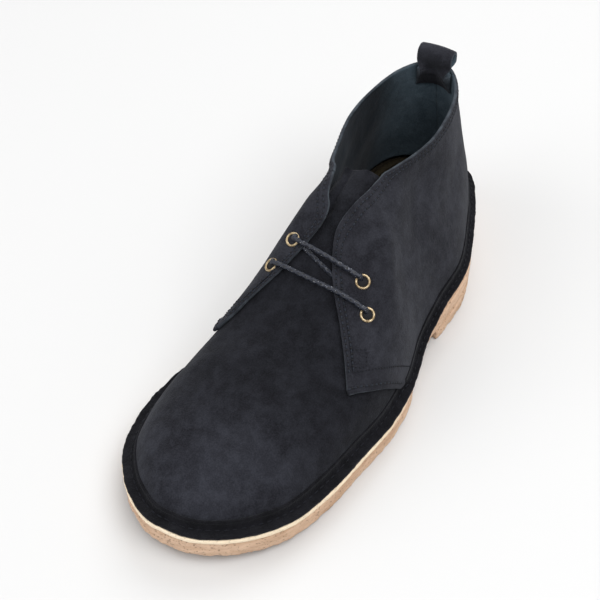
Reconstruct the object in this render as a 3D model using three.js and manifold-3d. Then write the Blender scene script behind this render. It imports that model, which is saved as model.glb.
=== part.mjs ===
// A left chukka boot of soft suede on a crepe sole, in the stitched-down make: the leather of the
// upper turns outwards over the sole's edge and is sewn there. Millimetres, +Z up, +X to the toe and
// +Y to the outer side of the foot. Every piece is worked out from one surface, the last.

import * as THREE from "three";
import { mergeVertices } from "three/addons/utils/BufferGeometryUtils.js";
import Module from "manifold-3d";

const wasm = await Module();
wasm.setup();

// ---- Driving sizes -----------------------------------------------------------------------------

const LEATHER = 1.9; // one layer of suede
const GAP = 0.3; // between two pieces that touch
const SINK = 0.85; // how far the quarters sink into the vamp under them
const OUTER = 1; // the side of the little toe
const INNER = -1; // the side of the big toe

const HEEL_SEAT = 24.8; // height of the midsole's top under the heel
const TREAD = 13.4; // and under the ball
const SPRING = 7.2; // how far the toe's tip is lifted
const RAMP_FROM = 65; // the sole falls from heel seat to tread between these two lengths
const RAMP_TO = 163.5;
const SPRING_FROM = 205;
const SPRING_RUN = 85;

const FLANGE = 6; // how far the leather turns out past the feather line
const MIDSOLE = 2.7;
const MIDSOLE_PROUD = 0.5; // the midsole's edge past the leather
const OUTSOLE_SHY = 0.5; // the crepe's edge inside the midsole's
const BREAST_STATION = 5.2; // where the heel lift ends
const INSOLE = 2.6;
const INSOLE_SHY = 3.6;

// One row for each station, from the back of the heel to the tip of the toe.
// x, outer, inner: the feather line, where the upper meets the sole, on the two sides.
// swell: how far the wall leans out above it. rise: the share of its height that it keeps upright.
// crown: how round it turns in to the crest of the instep and vamp.
const STATIONS = rows(
  ["x", "outer", "inner", "swell", "rise", "crown"],
  [0, 0, 0, -1.8, 0.34, 0],
  [7.5, 18.3, -21.6, -1.8, 0.34, 0],
  [27, 28.9, -30.7, -1.8, 0.33, 0],
  [52, 38.2, -29.3, -2.6, 0.33, 0.03],
  [78, 45.5, -27.1, -3.6, 0.33, 0.2],
  [104, 44.9, -25.8, -4.5, 0.34, 0.4],
  [130, 46, -29.3, -4.5, 0.42, 0.55],
  [156, 51, -35.7, -3.7, 0.5, 0.59],
  [182, 51.9, -40.8, -2.7, 0.55, 0.59],
  [207, 48, -46.4, -2.3, 0.58, 0.59],
  [232, 44, -48.4, -2.3, 0.6, 0.57],
  [255, 37.2, -43.8, -2.3, 0.62, 0.55],
  [272.5, 24, -31.6, -2.3, 0.64, 0.53],
  [283, 8, -16.9, -2.3, 0.66, 0.52],
  [285, -5.9, -5.9, -2.3, 0.66, 0.52],
);
const TIP = STATIONS.length - 1;

// The crest, from the front of the collar down the instep to the crown of the toe.
const CREST = rows(
  ["x", "y", "z"],
  [108.7, -3, 96.7],
  [124, -3.7, 93],
  [146, -3.3, 76.5],
  [170, -4.1, 59.3],
  [195, -6.2, 49.2],
  [220, -8.2, 44],
  [240, -8.8, 41.3],
  [252, -8.4, 39.5],
  [258, -8.1, 38.4],
);

// The collar is an oval loop round the ankle, which dips at its two sides.
const COLLAR = { x: 57.4, y: -3, halfLength: 51.3, halfWidth: 22.3, back: 97.5, front: 96.7, dip: 2 };
const THROAT = 6; // the station where the collar's front meets the crest
const COLLAR_LEAN = 3.7; // the heel's wall leans forward under the collar
const BELLY = { outer: 3.1, inner: 1.6 }; // how far the ankle's walls swell out under the collar

// The cut edge of each quarter. at: station. top: how far up the rib the quarter reaches.
// low: where its lower edge runs, 0 at the feather line.
const FLAP_OUTER = rows(
  ["at", "top", "low"],
  [0, 1, 0],
  [1.5, 1, 0],
  [3, 1, 0],
  [4.3, 1, 0],
  [4.95, 0.953, 0],
  [5.5, 0.886, 0],
  [6.2, 0.865, 0],
  [6.8, 0.893, 0],
  [7.25, 0.924, 0.02],
  [7.55, 0.932, 0.09],
  [7.86, 0.898, 0.17],
  [8.13, 0.82, 0.235],
  [8.38, 0.678, 0.295],
  [8.6, 0.55, 0.35],
  [8.82, 0.42, 0.395],
);
const FLAP_INNER = rows(
  ["at", "top", "low"],
  [0, 1, 0],
  [1.5, 1, 0],
  [3, 1, 0],
  [4.3, 1, 0],
  [4.95, 0.95, 0],
  [5.5, 0.885, 0],
  [6.2, 0.87, 0],
  [6.8, 0.91, 0],
  [7.25, 0.965, 0.02],
  [7.55, 0.96, 0.09],
  [7.82, 0.885, 0.17],
  [8.08, 0.79, 0.24],
  [8.35, 0.63, 0.32],
  [8.55, 0.56, 0.385],
  [8.72, 0.46, 0.43],
);

const VAMP = { from: 8, low: 6.2, top: 0.58 }; // its back edge slants under the quarters
const TONGUE = { from: 6.05, to: 7.9, edge: 0.6, under: 1.5 };

const EYELETS = rows(
  ["name", "side", "at", "up"],
  ["eyelet_outer_upper", OUTER, 7.5, 0.68],
  ["eyelet_outer_lower", OUTER, 7.73, 0.57],
  ["eyelet_inner_upper", INNER, 7.47, 0.77],
  ["eyelet_inner_lower", INNER, 7.75, 0.665],
);
const EYELET = { rim: 4, bore: 2, barrel: 2.5, hole: 2.9, proud: 0.9 };
const LACE = 2.5; // diameter

// The pull loop. out, up: the strap's middle line from the collar's edge to the loop's top. straight: how
// far above the collar the strap stops following its curve.
const LOOP = { width: 19, strap: 1.7, tail: 0.83, edge: 0.985, straight: 6.5 };
const LOOP_LINE = rows(
  ["out", "up"],
  [0.95, -3],
  [1.1, 1],
  [2.2, 3.6],
  [3.35, 6.3],
  [3.5, 9.2],
  [2.6, 12],
  [0, 13.2],
);

// ---- Small tools ---------------------------------------------------------------------------------

function rows(names, ...lines) {
  return lines.map((line) => Object.fromEntries(names.map((name, i) => [name, line[i]])));
}

const mix = (a, b, share) => a + (b - a) * share;
const clamp = (value, low, high) => Math.min(high, Math.max(low, value));
const smooth = (from, to, value) => THREE.MathUtils.smoothstep(value, from, to);
const span = (count) => Array.from({ length: count + 1 }, (_, i) => i / count);

function catmull(a, b, c, d, f) {
  const square = 2 * a - 5 * b + 4 * c - d;
  const cube = 3 * b - a - 3 * c + d;
  return 0.5 * (2 * b + (c - a) * f + square * f * f + cube * f * f * f);
}

// The value of one named column at a place between rows, smooth through every row.
function column(table, name, place) {
  const last = table.length - 1;
  const t = clamp(place, 0, last - 1e-9);
  const i = Math.floor(t);
  const b = table[i][name];
  const c = table[i + 1][name];
  const a = i > 0 ? table[i - 1][name] : 2 * b - c;
  const d = i + 2 <= last ? table[i + 2][name] : 2 * c - b;
  return catmull(a, b, c, d, t - i);
}

// ---- The last ------------------------------------------------------------------------------------

const soleTop = (x) =>
  mix(HEEL_SEAT, TREAD, smooth(RAMP_FROM, RAMP_TO, x)) + toeSpring(x);
const toeSpring = (x) => SPRING * clamp((x - SPRING_FROM) / SPRING_RUN, 0, 1.3) ** 2;

const RING = [
  ...STATIONS.map((row) => ({ x: row.x, y: row.outer })),
  ...STATIONS.slice(1, -1).reverse().map((row) => ({ x: row.x, y: row.inner })),
];

// A point of the feather line, moved out of it by offset.
function feather(side, station, offset = 0) {
  const turn = side === OUTER ? station : RING.length - station;
  const i = Math.floor(turn);
  const f = turn - i;
  const at = (k) => RING[((k % RING.length) + RING.length) % RING.length];
  const value = (name, g) => catmull(at(i - 1)[name], at(i)[name], at(i + 1)[name], at(i + 2)[name], g);
  const step = 1e-4;
  const along = new THREE.Vector2(
    value("x", f + step) - value("x", f - step),
    value("y", f + step) - value("y", f - step),
  ).normalize();
  const out = new THREE.Vector3(-along.y, along.x, 0);
  return { out, point: new THREE.Vector3(value("x", f), value("y", f), 0).addScaledVector(out, offset) };
}

// The upper end of the rib at a station, and how steeply the crest falls there.
function ribTop(side, station) {
  if (station <= THROAT) {
    const turn = (Math.PI * station) / THROAT;
    const front = (1 - Math.cos(turn)) / 2;
    const point = new THREE.Vector3(
      COLLAR.x - COLLAR.halfLength * Math.cos(turn),
      COLLAR.y + side * COLLAR.halfWidth * Math.sin(turn),
      mix(COLLAR.back, COLLAR.front, front) - COLLAR.dip * Math.sin(turn) ** 2,
    );
    return { point, fall: crestFall(0) };
  }
  const place = ((station - THROAT) / (TIP - THROAT)) * (CREST.length - 1);
  const [x, y, z] = ["x", "y", "z"].map((name) => column(CREST, name, place));
  return { point: new THREE.Vector3(x, y, z), fall: crestFall(place) };
}

function crestFall(place) {
  const at = Math.min(place, CREST.length - 1.05);
  const run = column(CREST, "x", at + 0.02) - column(CREST, "x", at);
  return (column(CREST, "z", at + 0.02) - column(CREST, "z", at)) / run;
}

// A point of the last: station along it, up from 0 at the feather line to 1 at the collar or crest.
function last(side, station, up) {
  const foot = feather(side, station);
  const start = foot.point.clone().setZ(soleTop(foot.point.x) + LEATHER + GAP);
  const { point: end, fall } = ribTop(side, station);
  const tall = end.z - start.z;
  const stand = start.clone().addScaledVector(foot.out, column(STATIONS, "swell", station));
  stand.z += tall * column(STATIONS, "rise", station);
  const crown = column(STATIONS, "crown", station);
  const over = new THREE.Vector3(start.x - end.x, start.y - end.y, (start.x - end.x) * fall);
  const arch = end.clone().addScaledVector(over, crown);
  const forward = COLLAR_LEAN * (1 - smooth(0, 2.2, station));
  const wall = end.clone().add(new THREE.Vector3(forward, 0, -0.34 * tall));
  const belly = side === OUTER ? BELLY.outer : BELLY.inner;
  wall.addScaledVector(foot.out, belly * smooth(0.2, 1.6, station));
  const lean = wall.lerp(arch, smooth(3.2, THROAT, station));
  const down = 1 - up;
  return new THREE.Vector3()
    .addScaledVector(start, down ** 3)
    .addScaledVector(stand, 3 * down ** 2 * up)
    .addScaledVector(lean, 3 * down * up ** 2)
    .addScaledVector(end, up ** 3);
}

function lastNormal(side, station, up) {
  const step = 1e-3;
  const s = clamp(station, step, TIP - 0.02);
  const v = clamp(up, 0, 0.985);
  const along = last(side, s + step, v).sub(last(side, s - step, v));
  const rise = last(side, s, v + step).sub(last(side, s, v - step));
  return side === OUTER ? rise.cross(along).normalize() : along.cross(rise).normalize();
}

// A point that stands off the last by offset. At the back seam and the toe's tip, where the two
// sides meet, both give the same point.
function skin(side, station, up, offset) {
  const normal = lastNormal(side, station, up);
  const meets = station < 1e-6 || station > TIP - 1e-6 || (up > 1 - 1e-6 && station >= THROAT);
  if (meets) normal.add(lastNormal(-side, station, up)).normalize();
  return last(side, station, up).addScaledVector(normal, offset);
}

// ---- Solids --------------------------------------------------------------------------------------

function toSolid(geometry) {
  const plain = new THREE.BufferGeometry()
    .setAttribute("position", geometry.getAttribute("position"))
    .setIndex(geometry.index);
  const merged = mergeVertices(plain, 1e-4);
  const index = [];
  for (let i = 0; i < merged.index.count; i += 3) {
    const [a, b, c] = [0, 1, 2].map((k) => merged.index.getX(i + k));
    if (a !== b && b !== c && c !== a) index.push(a, b, c);
  }
  const vertProperties = new Float32Array(merged.attributes.position.array);
  const made = (triVerts) =>
    new wasm.Manifold(new wasm.Mesh({ numProp: 3, vertProperties, triVerts: new Uint32Array(triVerts) }));
  const first = made(index);
  return first.volume() > 0 ? first : made(index.reverse());
}

function toGeometry(solid) {
  const mesh = solid.getMesh();
  return new THREE.BufferGeometry()
    .setAttribute("position", new THREE.BufferAttribute(new Float32Array(mesh.vertProperties), 3))
    .setIndex(new THREE.BufferAttribute(new Uint32Array(mesh.triVerts), 1));
}

// A closed sheet between two grids of points, with walls round its edges. A ring closes on itself
// from its last row to its first. The last row of a zipped sheet is folded, so that its halves meet.
function sheet(outerGrid, innerGrid, { ring = false, zipped = false } = {}) {
  const width = outerGrid[0].length;
  const count = outerGrid.length;
  const points = [...outerGrid.flat(), ...innerGrid.flat()];
  const top = (i, j) => (i % count) * width + j;
  const low = (i, j) => count * width + top(i, j);
  const index = [];
  const quad = (a, b, c, d) => index.push(a, b, c, a, c, d);
  const lines = ring ? count : count - 1;
  for (let i = 0; i < lines; i++) {
    for (let j = 0; j + 1 < width; j++) {
      quad(top(i, j), top(i, j + 1), top(i + 1, j + 1), top(i + 1, j));
      quad(low(i, j), low(i + 1, j), low(i + 1, j + 1), low(i, j + 1));
    }
    quad(top(i, 0), top(i + 1, 0), low(i + 1, 0), low(i, 0));
    quad(top(i, width - 1), low(i, width - 1), low(i + 1, width - 1), top(i + 1, width - 1));
  }
  for (let j = 0; !ring && j + 1 < width; j++) {
    quad(top(0, j), low(0, j), low(0, j + 1), top(0, j + 1));
    if (zipped) continue;
    quad(top(count - 1, j), top(count - 1, j + 1), low(count - 1, j + 1), low(count - 1, j));
  }
  return toSolid(new THREE.BufferGeometry().setFromPoints(points).setIndex(index));
}

// ---- Upper ---------------------------------------------------------------------------------------

const VAMP_ROWS = 22;
const VAMP_COLUMNS = 9;
const QUARTER_ROWS = 28;
const QUARTER_COLUMNS = 8;
const BOTH = [OUTER, INNER];

// A rib from one feather line over the crest to the other, as side and height up the rib.
const across = (low, count) => [
  ...span(count).map((t) => ({ side: OUTER, up: mix(low, 1, t) })),
  ...span(count).slice(0, -1).reverse().map((t) => ({ side: INNER, up: mix(low, 1, t) })),
];

const vampBack = (up) => mix(VAMP.low, VAMP.from, Math.min(up / VAMP.top, 1));

function vamp() {
  const grid = (offset) =>
    span(VAMP_ROWS).map((t) =>
      across(0, VAMP_COLUMNS).map(({ side, up }) => skin(side, mix(vampBack(up), TIP, t), up, offset)),
    );
  return sheet(grid(0), grid(-LEATHER), { zipped: true });
}

// The two quarters are one strip round the heel, from the outer flap's corner to the inner one's.
function quarters() {
  const strip = (flap, side) =>
    span(QUARTER_ROWS).map((t) => {
      const place = t * (flap.length - 1);
      const [station, top, low] = ["at", "top", "low"].map((name) => column(flap, name, place));
      return { side, station: clamp(station, 0, TIP), top: Math.min(top, 1), low: Math.max(low, 0) };
    });
  const lines = [...strip(FLAP_INNER, INNER).reverse(), ...strip(FLAP_OUTER, OUTER).slice(1)];
  const grid = (offset) =>
    lines.map(({ side, station, top, low }) =>
      span(QUARTER_COLUMNS).map((t) => skin(side, station, mix(low, top, t), offset)),
    );
  return sheet(grid(LEATHER), grid(-SINK));
}

// The loop of leather that lies on the midsole, all the way round.
function turnedEdge() {
  const round = [
    ...span(42).map((t) => [OUTER, t * TIP]),
    ...span(42).slice(1, -1).reverse().map((t) => [INNER, t * TIP]),
  ];
  const edge = (offset, lift) =>
    round.map(([side, station]) => {
      const { point } = feather(side, station, offset);
      return point.setZ(soleTop(point.x) + GAP + lift);
    });
  const grid = (lift) => {
    const [inside, outside] = [edge(-LEATHER, lift), edge(FLANGE, lift)];
    return inside.map((point, i) => [point, outside[i]]);
  };
  return sheet(grid(LEATHER + GAP), grid(0), { ring: true });
}

// A matrix that stands a shape made round the Z axis on the quarter, its foot on the leather.
function standOn({ side, at, up }, offset) {
  const normal = lastNormal(side, at, up);
  const turn = new THREE.Quaternion().setFromUnitVectors(new THREE.Vector3(0, 0, 1), normal);
  return new THREE.Matrix4().compose(skin(side, at, up, offset), turn, new THREE.Vector3(1, 1, 1));
}

function eyeletHole(eyelet) {
  const drill = new THREE.CylinderGeometry(EYELET.hole, EYELET.hole, 6 * LEATHER, 16);
  return toSolid(drill.rotateX(Math.PI / 2).applyMatrix4(standOn(eyelet, LEATHER / 2)));
}

function upper() {
  const body = vamp().add(quarters()).add(turnedEdge());
  return toGeometry(EYELETS.reduce((solid, eyelet) => solid.subtract(eyeletHole(eyelet)), body));
}

function tongue() {
  const grid = (offset) =>
    span(9).map((t) => {
      const station = mix(TONGUE.from, TONGUE.to, t);
      return across(TONGUE.edge, 5).map(({ side, up }) => skin(side, station, up, offset));
    });
  return toGeometry(sheet(grid(-TONGUE.under), grid(-TONGUE.under - LEATHER)));
}

// ---- Sole ----------------------------------------------------------------------------------------

// A plate with the feather line's outline, moved out by offset, between two heights that change
// along the foot. Its rows run straight across from one side to the other.
function plate(offset, topAt, lowAt, toStation = TIP, count = 46) {
  const grid = (heightAt) =>
    span(count).map((t) => {
      const [from, to] = BOTH.map((side) => feather(side, t * toStation, offset).point);
      return span(4).map((u) => {
        const point = from.clone().lerp(to, u);
        return point.setZ(heightAt(point.x));
      });
    });
  return toGeometry(sheet(grid(topAt), grid(lowAt)));
}

const crepeTop = (x) => soleTop(x) - MIDSOLE - GAP;
const crepeLow = (x) => soleTop(x) - TREAD; // the crepe is as thick under the heel as under the ball

const insole = () => plate(-INSOLE_SHY, (x) => soleTop(x) + GAP + INSOLE, (x) => soleTop(x) + GAP);
const midsole = () => plate(FLANGE + MIDSOLE_PROUD, soleTop, (x) => soleTop(x) - MIDSOLE);
const outsole = () => plate(FLANGE + MIDSOLE_PROUD - OUTSOLE_SHY, crepeTop, crepeLow);

function heelLift() {
  const offset = FLANGE + MIDSOLE_PROUD - OUTSOLE_SHY;
  return plate(offset, (x) => crepeLow(x) - GAP, () => 0, BREAST_STATION, 18);
}

// ---- Pull loop, eyelets and lace -------------------------------------------------------------------

// A strap folded double: a pinched eye seen from the side, whose two ends go down together inside
// the heel. Each row runs along the strap, and the rows lie side by side across it.
function pullLoop() {
  const back = -SINK - 4 * GAP;
  const middle = back - LOOP.strap;
  const place = (y, up, offset) => {
    const station = (THROAT / Math.PI) * Math.asin(Math.abs(y) / COLLAR.halfWidth);
    return skin(y < 0 ? INNER : OUTER, station, up, offset);
  };
  const spread = span(6).map((u) => mix(-0.5, 0.5, u) * LOOP.width);
  const centre = place(0, LOOP.edge, middle);
  const half = new THREE.CatmullRomCurve3(LOOP_LINE.map(({ out, up }) => new THREE.Vector3(out, 0, up)));
  const line = half.getPoints(11);
  const mirrored = line.slice(0, -1).reverse().map(({ x, z }) => new THREE.Vector3(-x, 0, z));
  const eye = [...line, ...mirrored];
  const lay = (offset) =>
    spread.map((y) => {
      const foot = place(y, LOOP.edge, middle);
      return eye.map((point, i) => {
        const before = eye[Math.max(i - 1, 0)];
        const after = eye[Math.min(i + 1, eye.length - 1)];
        const out = new THREE.Vector3(after.z - before.z, 0, before.x - after.x).setLength(offset);
        const straight = smooth(0, LOOP.straight, point.z);
        return new THREE.Vector3(mix(foot.x, centre.x, straight), mix(foot.y, COLLAR.y + y, straight), foot.z)
          .add(point)
          .add(out);
      });
    });
  const heights = span(4).map((t) => mix(LOOP.tail, LOOP.edge, t));
  const tail = (offset) => spread.map((y) => heights.map((up) => place(y, up, offset)));
  const ring = sheet(lay(LOOP.strap / 2), lay(-LOOP.strap / 2));
  return toGeometry(ring.add(sheet(tail(back), tail(middle - LOOP.strap))));
}

function eyelet(place) {
  const { rim, bore, barrel, proud } = EYELET;
  const foot = -LEATHER - 0.2;
  const profile = [
    [bore, foot],
    [barrel, foot],
    [barrel, GAP],
    [rim, GAP],
    [rim, GAP + proud * 0.45],
    [mix(bore, rim, 0.6), GAP + proud],
    [bore, GAP + proud * 0.6],
    [bore, foot],
  ].map(([r, z]) => new THREE.Vector2(r, z));
  const ring = new THREE.LatheGeometry(profile, 16).rotateX(Math.PI / 2);
  return toGeometry(toSolid(ring.applyMatrix4(standOn(place, LEATHER))));
}

function tube(points) {
  const route = new THREE.CatmullRomCurve3(points);
  const round = new THREE.Shape().absarc(0, 0, LACE / 2, 0, 2 * Math.PI);
  const cord = new THREE.ExtrudeGeometry(round, {
    extrudePath: route,
    steps: 16,
    curveSegments: 4,
    bevelEnabled: false,
  });
  return toGeometry(toSolid(cord));
}

// The height up the rib at which a vertical plane through two points cuts the leather: the station
// is found by halving, so that the lace runs straight across.
function onPlane(from, to, side, up, offset) {
  const across = new THREE.Vector2(to.y - from.y, from.x - to.x);
  const place = (station) => skin(side, station, up, offset);
  const beyond = (point) => across.x * (point.x - from.x) + across.y * (point.y - from.y);
  let [low, high] = [THROAT + 0.2, 9];
  for (let i = 0; i < 22; i++) {
    const half = (low + high) / 2;
    if (beyond(place(half)) > 0) high = half;
    else low = half;
  }
  return place(low);
}

// A bar of lace from an eyelet on the inner side over the throat to one on the outer side.
function laceBar(innerEyelet, outerEyelet) {
  const offset = LEATHER + GAP + EYELET.proud + GAP + LACE / 2;
  const [from, to] = [innerEyelet, outerEyelet].map(({ side, at, up }) => skin(side, at, up, offset));
  const leg = ({ side, up }, shares) => shares.map((t) => onPlane(from, to, side, mix(up, 1, t), offset));
  const rise = leg(innerEyelet, [0.2, 0.4, 0.6, 0.8]);
  return tube([from, ...rise, ...leg(outerEyelet, [0.8, 0.6, 0.4, 0.2]), to]);
}

// The part of the lace that shows under the bars, between the two facings.
function laceDiagonal(innerEyelet, outerEyelet) {
  const offset = 1.5 * GAP + LACE / 2;
  const [from, to] = [innerEyelet, outerEyelet].map(({ side, at, up }) => skin(side, at, up, offset));
  const leg = (side, ups) => ups.map((up) => onPlane(from, to, side, up, offset));
  return tube([...leg(INNER, [0.94, 0.97]), ...leg(OUTER, [0.97, 0.94])]);
}

// ---- Assembly --------------------------------------------------------------------------------------

const finish = (color, roughness, metalness = 0) =>
  new THREE.MeshStandardMaterial({ color, roughness, metalness });
const suede = finish(0x2d2f36, 0.95);
const crepe = finish(0xd3b092, 0.8);
const cream = finish(0xf6e4c8, 0.7);
const sock = finish(0x4b3c26, 0.85);
const brass = finish(0xa08862, 0.4, 0.9);
const waxedCord = finish(0x282c3a, 0.5);

const shoe = new THREE.Group();
const boot = new THREE.Group();
shoe.add(boot);

function add(name, geometry, material) {
  const mesh = new THREE.Mesh(geometry, material);
  mesh.name = name;
  boot.add(mesh);
}

add("upper", upper(), suede);
add("tongue", tongue(), suede);
add("insole", insole(), sock);
add("midsole", midsole(), cream);
add("outsole", outsole(), crepe);
add("heel_lift", heelLift(), crepe);
add("pull_loop", pullLoop(), suede);
for (const place of EYELETS) add(place.name, eyelet(place), brass);
const [outerUpper, outerLower, innerUpper, innerLower] = EYELETS;
add("lace_bar_upper", laceBar(innerUpper, outerUpper), waxedCord);
add("lace_bar_lower", laceBar(innerLower, outerLower), waxedCord);
add("lace_diagonal", laceDiagonal(innerUpper, outerLower), waxedCord);

// The origin is the middle of the box's floor.
const box = new THREE.Box3().setFromObject(boot);
const middle = box.getCenter(new THREE.Vector3());
boot.position.set(-middle.x, -middle.y, -box.min.z);

export default shoe;
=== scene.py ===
# %% [markdown]
# # A suede chukka boot on a crepe sole
#
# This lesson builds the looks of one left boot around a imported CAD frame. The frame is in metres,
# with +X to the toe, +Y to the outer side of the foot and +Z up. Every soft piece of the boot is
# worked out from one surface, the last, which is the wooden foot that a boot is made on.

import math

import bmesh
import bpy
import numpy as np
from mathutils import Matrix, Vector, noise


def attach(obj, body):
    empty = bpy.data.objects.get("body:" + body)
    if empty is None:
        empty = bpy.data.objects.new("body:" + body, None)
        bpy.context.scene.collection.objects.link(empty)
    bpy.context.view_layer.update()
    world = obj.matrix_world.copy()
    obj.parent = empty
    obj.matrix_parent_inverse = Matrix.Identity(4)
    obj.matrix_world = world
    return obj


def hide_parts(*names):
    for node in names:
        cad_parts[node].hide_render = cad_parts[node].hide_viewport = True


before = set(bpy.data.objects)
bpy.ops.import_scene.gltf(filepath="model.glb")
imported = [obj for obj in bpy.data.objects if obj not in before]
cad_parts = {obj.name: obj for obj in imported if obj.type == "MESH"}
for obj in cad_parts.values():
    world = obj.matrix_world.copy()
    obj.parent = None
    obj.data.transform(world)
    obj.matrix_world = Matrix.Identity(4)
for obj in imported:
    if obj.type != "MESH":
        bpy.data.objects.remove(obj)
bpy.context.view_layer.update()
print("nodes:", ", ".join(sorted(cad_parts)))

# %% [markdown]
# ## Sizes
#
# A maker thinks of a boot in millimetres, so the sizes are kept that way, in the boot's own frame:
# x runs from the back of the heel. Points are turned into metres only when a mesh is made.

# %% Driving sizes
MM = 0.001
LEATHER = 1.9  # one layer of suede
GAP = 0.3
OUTER, INNER = 1, -1
HEEL_SEAT, TREAD, SPRING = 24.8, 13.4, 7.2  # heights of the midsole's top, and the toe's lift
RAMP_FROM, RAMP_TO = 65.0, 163.5
SPRING_FROM, SPRING_RUN = 205.0, 85.0
FLANGE = 6.0  # how far the leather turns out past the feather line
MIDSOLE, MIDSOLE_PROUD, OUTSOLE_SHY = 2.7, 0.5, 0.5
BREAST_STATION = 5.2  # where the heel lift ends
INSOLE, INSOLE_SHY = 2.6, 3.6
THROAT = 6.0  # the station where the collar's front meets the crest
COLLAR_LEAN = 3.7  # how far the back of the heel leans forwards on its way up
COLLAR_REACH = 0.34  # the curve's upper handle hangs this share of a wall's height below the collar
LEAN_ENDS, BELLY_STATIONS, ARCH_STATIONS = 2.2, (0.2, 1.6), (3.2, THROAT)  # stations where each changes
BELLY = {OUTER: 3.1, INNER: 1.6}  # how far the walls swell out under the collar
TONGUE_TOP, TONGUE_EDGE, TONGUE_UNDER = 6.05, 0.6, 1.5
VAMP_BACK, VAMP_LOW = 8.0, 6.2
FLAP_START = 7.14  # the station where the flap's lower edge leaves the feather line
LACE = 2.5


def rows(names, *lines):
    """A short table with named columns."""
    return {name: np.array([line[i] for line in lines], float) for i, name in enumerate(names.split())}


STATIONS = rows(
    "x outer inner swell rise crown",
    (0, 0, 0, -1.8, 0.34, 0),
    (7.5, 18.3, -21.6, -1.8, 0.34, 0),
    (27, 28.9, -30.7, -1.8, 0.33, 0),
    (52, 38.2, -29.3, -2.6, 0.33, 0.03),
    (78, 45.5, -27.1, -3.6, 0.33, 0.2),
    (104, 44.9, -25.8, -4.5, 0.34, 0.4),
    (130, 46, -29.3, -4.5, 0.42, 0.55),
    (156, 51, -35.7, -3.7, 0.5, 0.59),
    (182, 51.9, -40.8, -2.7, 0.55, 0.59),
    (207, 48, -46.4, -2.3, 0.58, 0.59),
    (232, 44, -48.4, -2.3, 0.6, 0.57),
    (255, 37.2, -43.8, -2.3, 0.62, 0.55),
    (272.5, 24, -31.6, -2.3, 0.64, 0.53),
    (283, 8, -16.9, -2.3, 0.66, 0.52),
    (285, -5.9, -5.9, -2.3, 0.66, 0.52),
)
TIP = len(STATIONS["x"]) - 1
CREST = rows(
    "x y z",
    (108.7, -3, 96.7),
    (124, -3.7, 93),
    (146, -3.3, 76.5),
    (170, -4.1, 59.3),
    (195, -6.2, 49.2),
    (220, -8.2, 44),
    (240, -8.8, 41.3),
    (252, -8.4, 39.5),
    (258, -8.1, 38.4),
)
COLLAR = dict(x=57.4, y=-3, half_length=51.3, half_width=22.3, back=97.5, front=96.7, dip=2)
FLAPS = {
    OUTER: rows(
        "at top low",
        (0, 1, 0),
        (1.5, 1, 0),
        (3, 1, 0),
        (4.3, 1, 0),
        (4.95, 0.953, 0),
        (5.5, 0.886, 0),
        (6.2, 0.865, 0),
        (6.8, 0.893, 0),
        (7.25, 0.924, 0.02),
        (7.55, 0.932, 0.09),
        (7.86, 0.898, 0.17),
        (8.13, 0.82, 0.235),
        (8.38, 0.678, 0.295),
        (8.6, 0.55, 0.35),
        (8.82, 0.42, 0.395),
    ),
    INNER: rows(
        "at top low",
        (0, 1, 0),
        (1.2, 1, 0),
        (2.4, 1, 0),
        (3.5, 1, 0),
        (4.2, 0.982, 0),
        (4.75, 0.948, 0),
        (5.4, 0.902, 0),
        (6.1, 0.878, 0),
        (6.8, 0.91, 0),
        (7.25, 0.965, 0.02),
        (7.55, 0.96, 0.09),
        (7.82, 0.885, 0.17),
        (8.08, 0.79, 0.24),
        (8.35, 0.63, 0.32),
        (8.55, 0.56, 0.385),
        (8.72, 0.46, 0.43),
    ),
}
EYELETS = {
    "eyelet_outer_upper": (OUTER, 7.5, 0.68),
    "eyelet_outer_lower": (OUTER, 7.73, 0.57),
    "eyelet_inner_upper": (INNER, 7.47, 0.77),
    "eyelet_inner_lower": (INNER, 7.75, 0.665),
}
print(f"last bottom {STATIONS['x'][-1]:.0f} mm, {len(EYELETS)} eyelets")

# %% [markdown]
# ## The last
#
# The last could be sculpted, but then nothing would fit it: the quarters, the vamp, the stitches
# and the lace all have to lie on the same form. So it is a formula. A place on it has a station
# along the foot, a side, and a height up the rib from the feather line (0) to the collar or the
# crest of the instep (1). The tables hold one row a station, and a smooth curve runs through them.


# %% Curves through the tables
def smooth(low, high, value):
    """0 below low, 1 above high, and an even curve between."""
    share = np.clip((np.asarray(value, float) - low) / (high - low), 0, 1)
    return share * share * (3 - 2 * share)


def mix(a, b, share):
    return a + (b - a) * share


def hump(value, middle, spread):
    """1 at the middle, falling off to 0 on both sides of it."""
    return np.exp(-(((value - middle) / spread) ** 2))


def through(a, b, c, d, f):
    """A smooth curve from b to c, at the share f of the way. a and d are its neighbours."""
    square, cube = 2 * a - 5 * b + 4 * c - d, 3 * b - a - 3 * c + d
    return 0.5 * (2 * b + (c - a) * f + square * f**2 + cube * f**3)


def slope_through(a, b, c, d, f):
    """The slope of the same curve."""
    square, cube = 2 * a - 5 * b + 4 * c - d, 3 * b - a - 3 * c + d
    return 0.5 * ((c - a) + 2 * square * f + 3 * cube * f**2)


def column(values, place):
    """The value of one column at a place between its rows."""
    end = len(values) - 1
    place = np.clip(np.asarray(place, float), 0, end - 1e-9)
    i = np.floor(place).astype(int)
    b, c = values[i], values[i + 1]
    a = np.where(i > 0, values[i - 1], 2 * b - c)
    d = np.where(i + 2 <= end, values[np.minimum(i + 2, end)], 2 * c - b)
    return through(a, b, c, d, place - i)


def toe_spring(x):
    """How far the toe is lifted off the ground."""
    return SPRING * np.clip((x - SPRING_FROM) / SPRING_RUN, 0, 1.3) ** 2


def sole_top(x):
    """The height of the midsole's top, which the upper stands on."""
    return mix(HEEL_SEAT, TREAD, smooth(RAMP_FROM, RAMP_TO, x)) + toe_spring(x)


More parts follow.
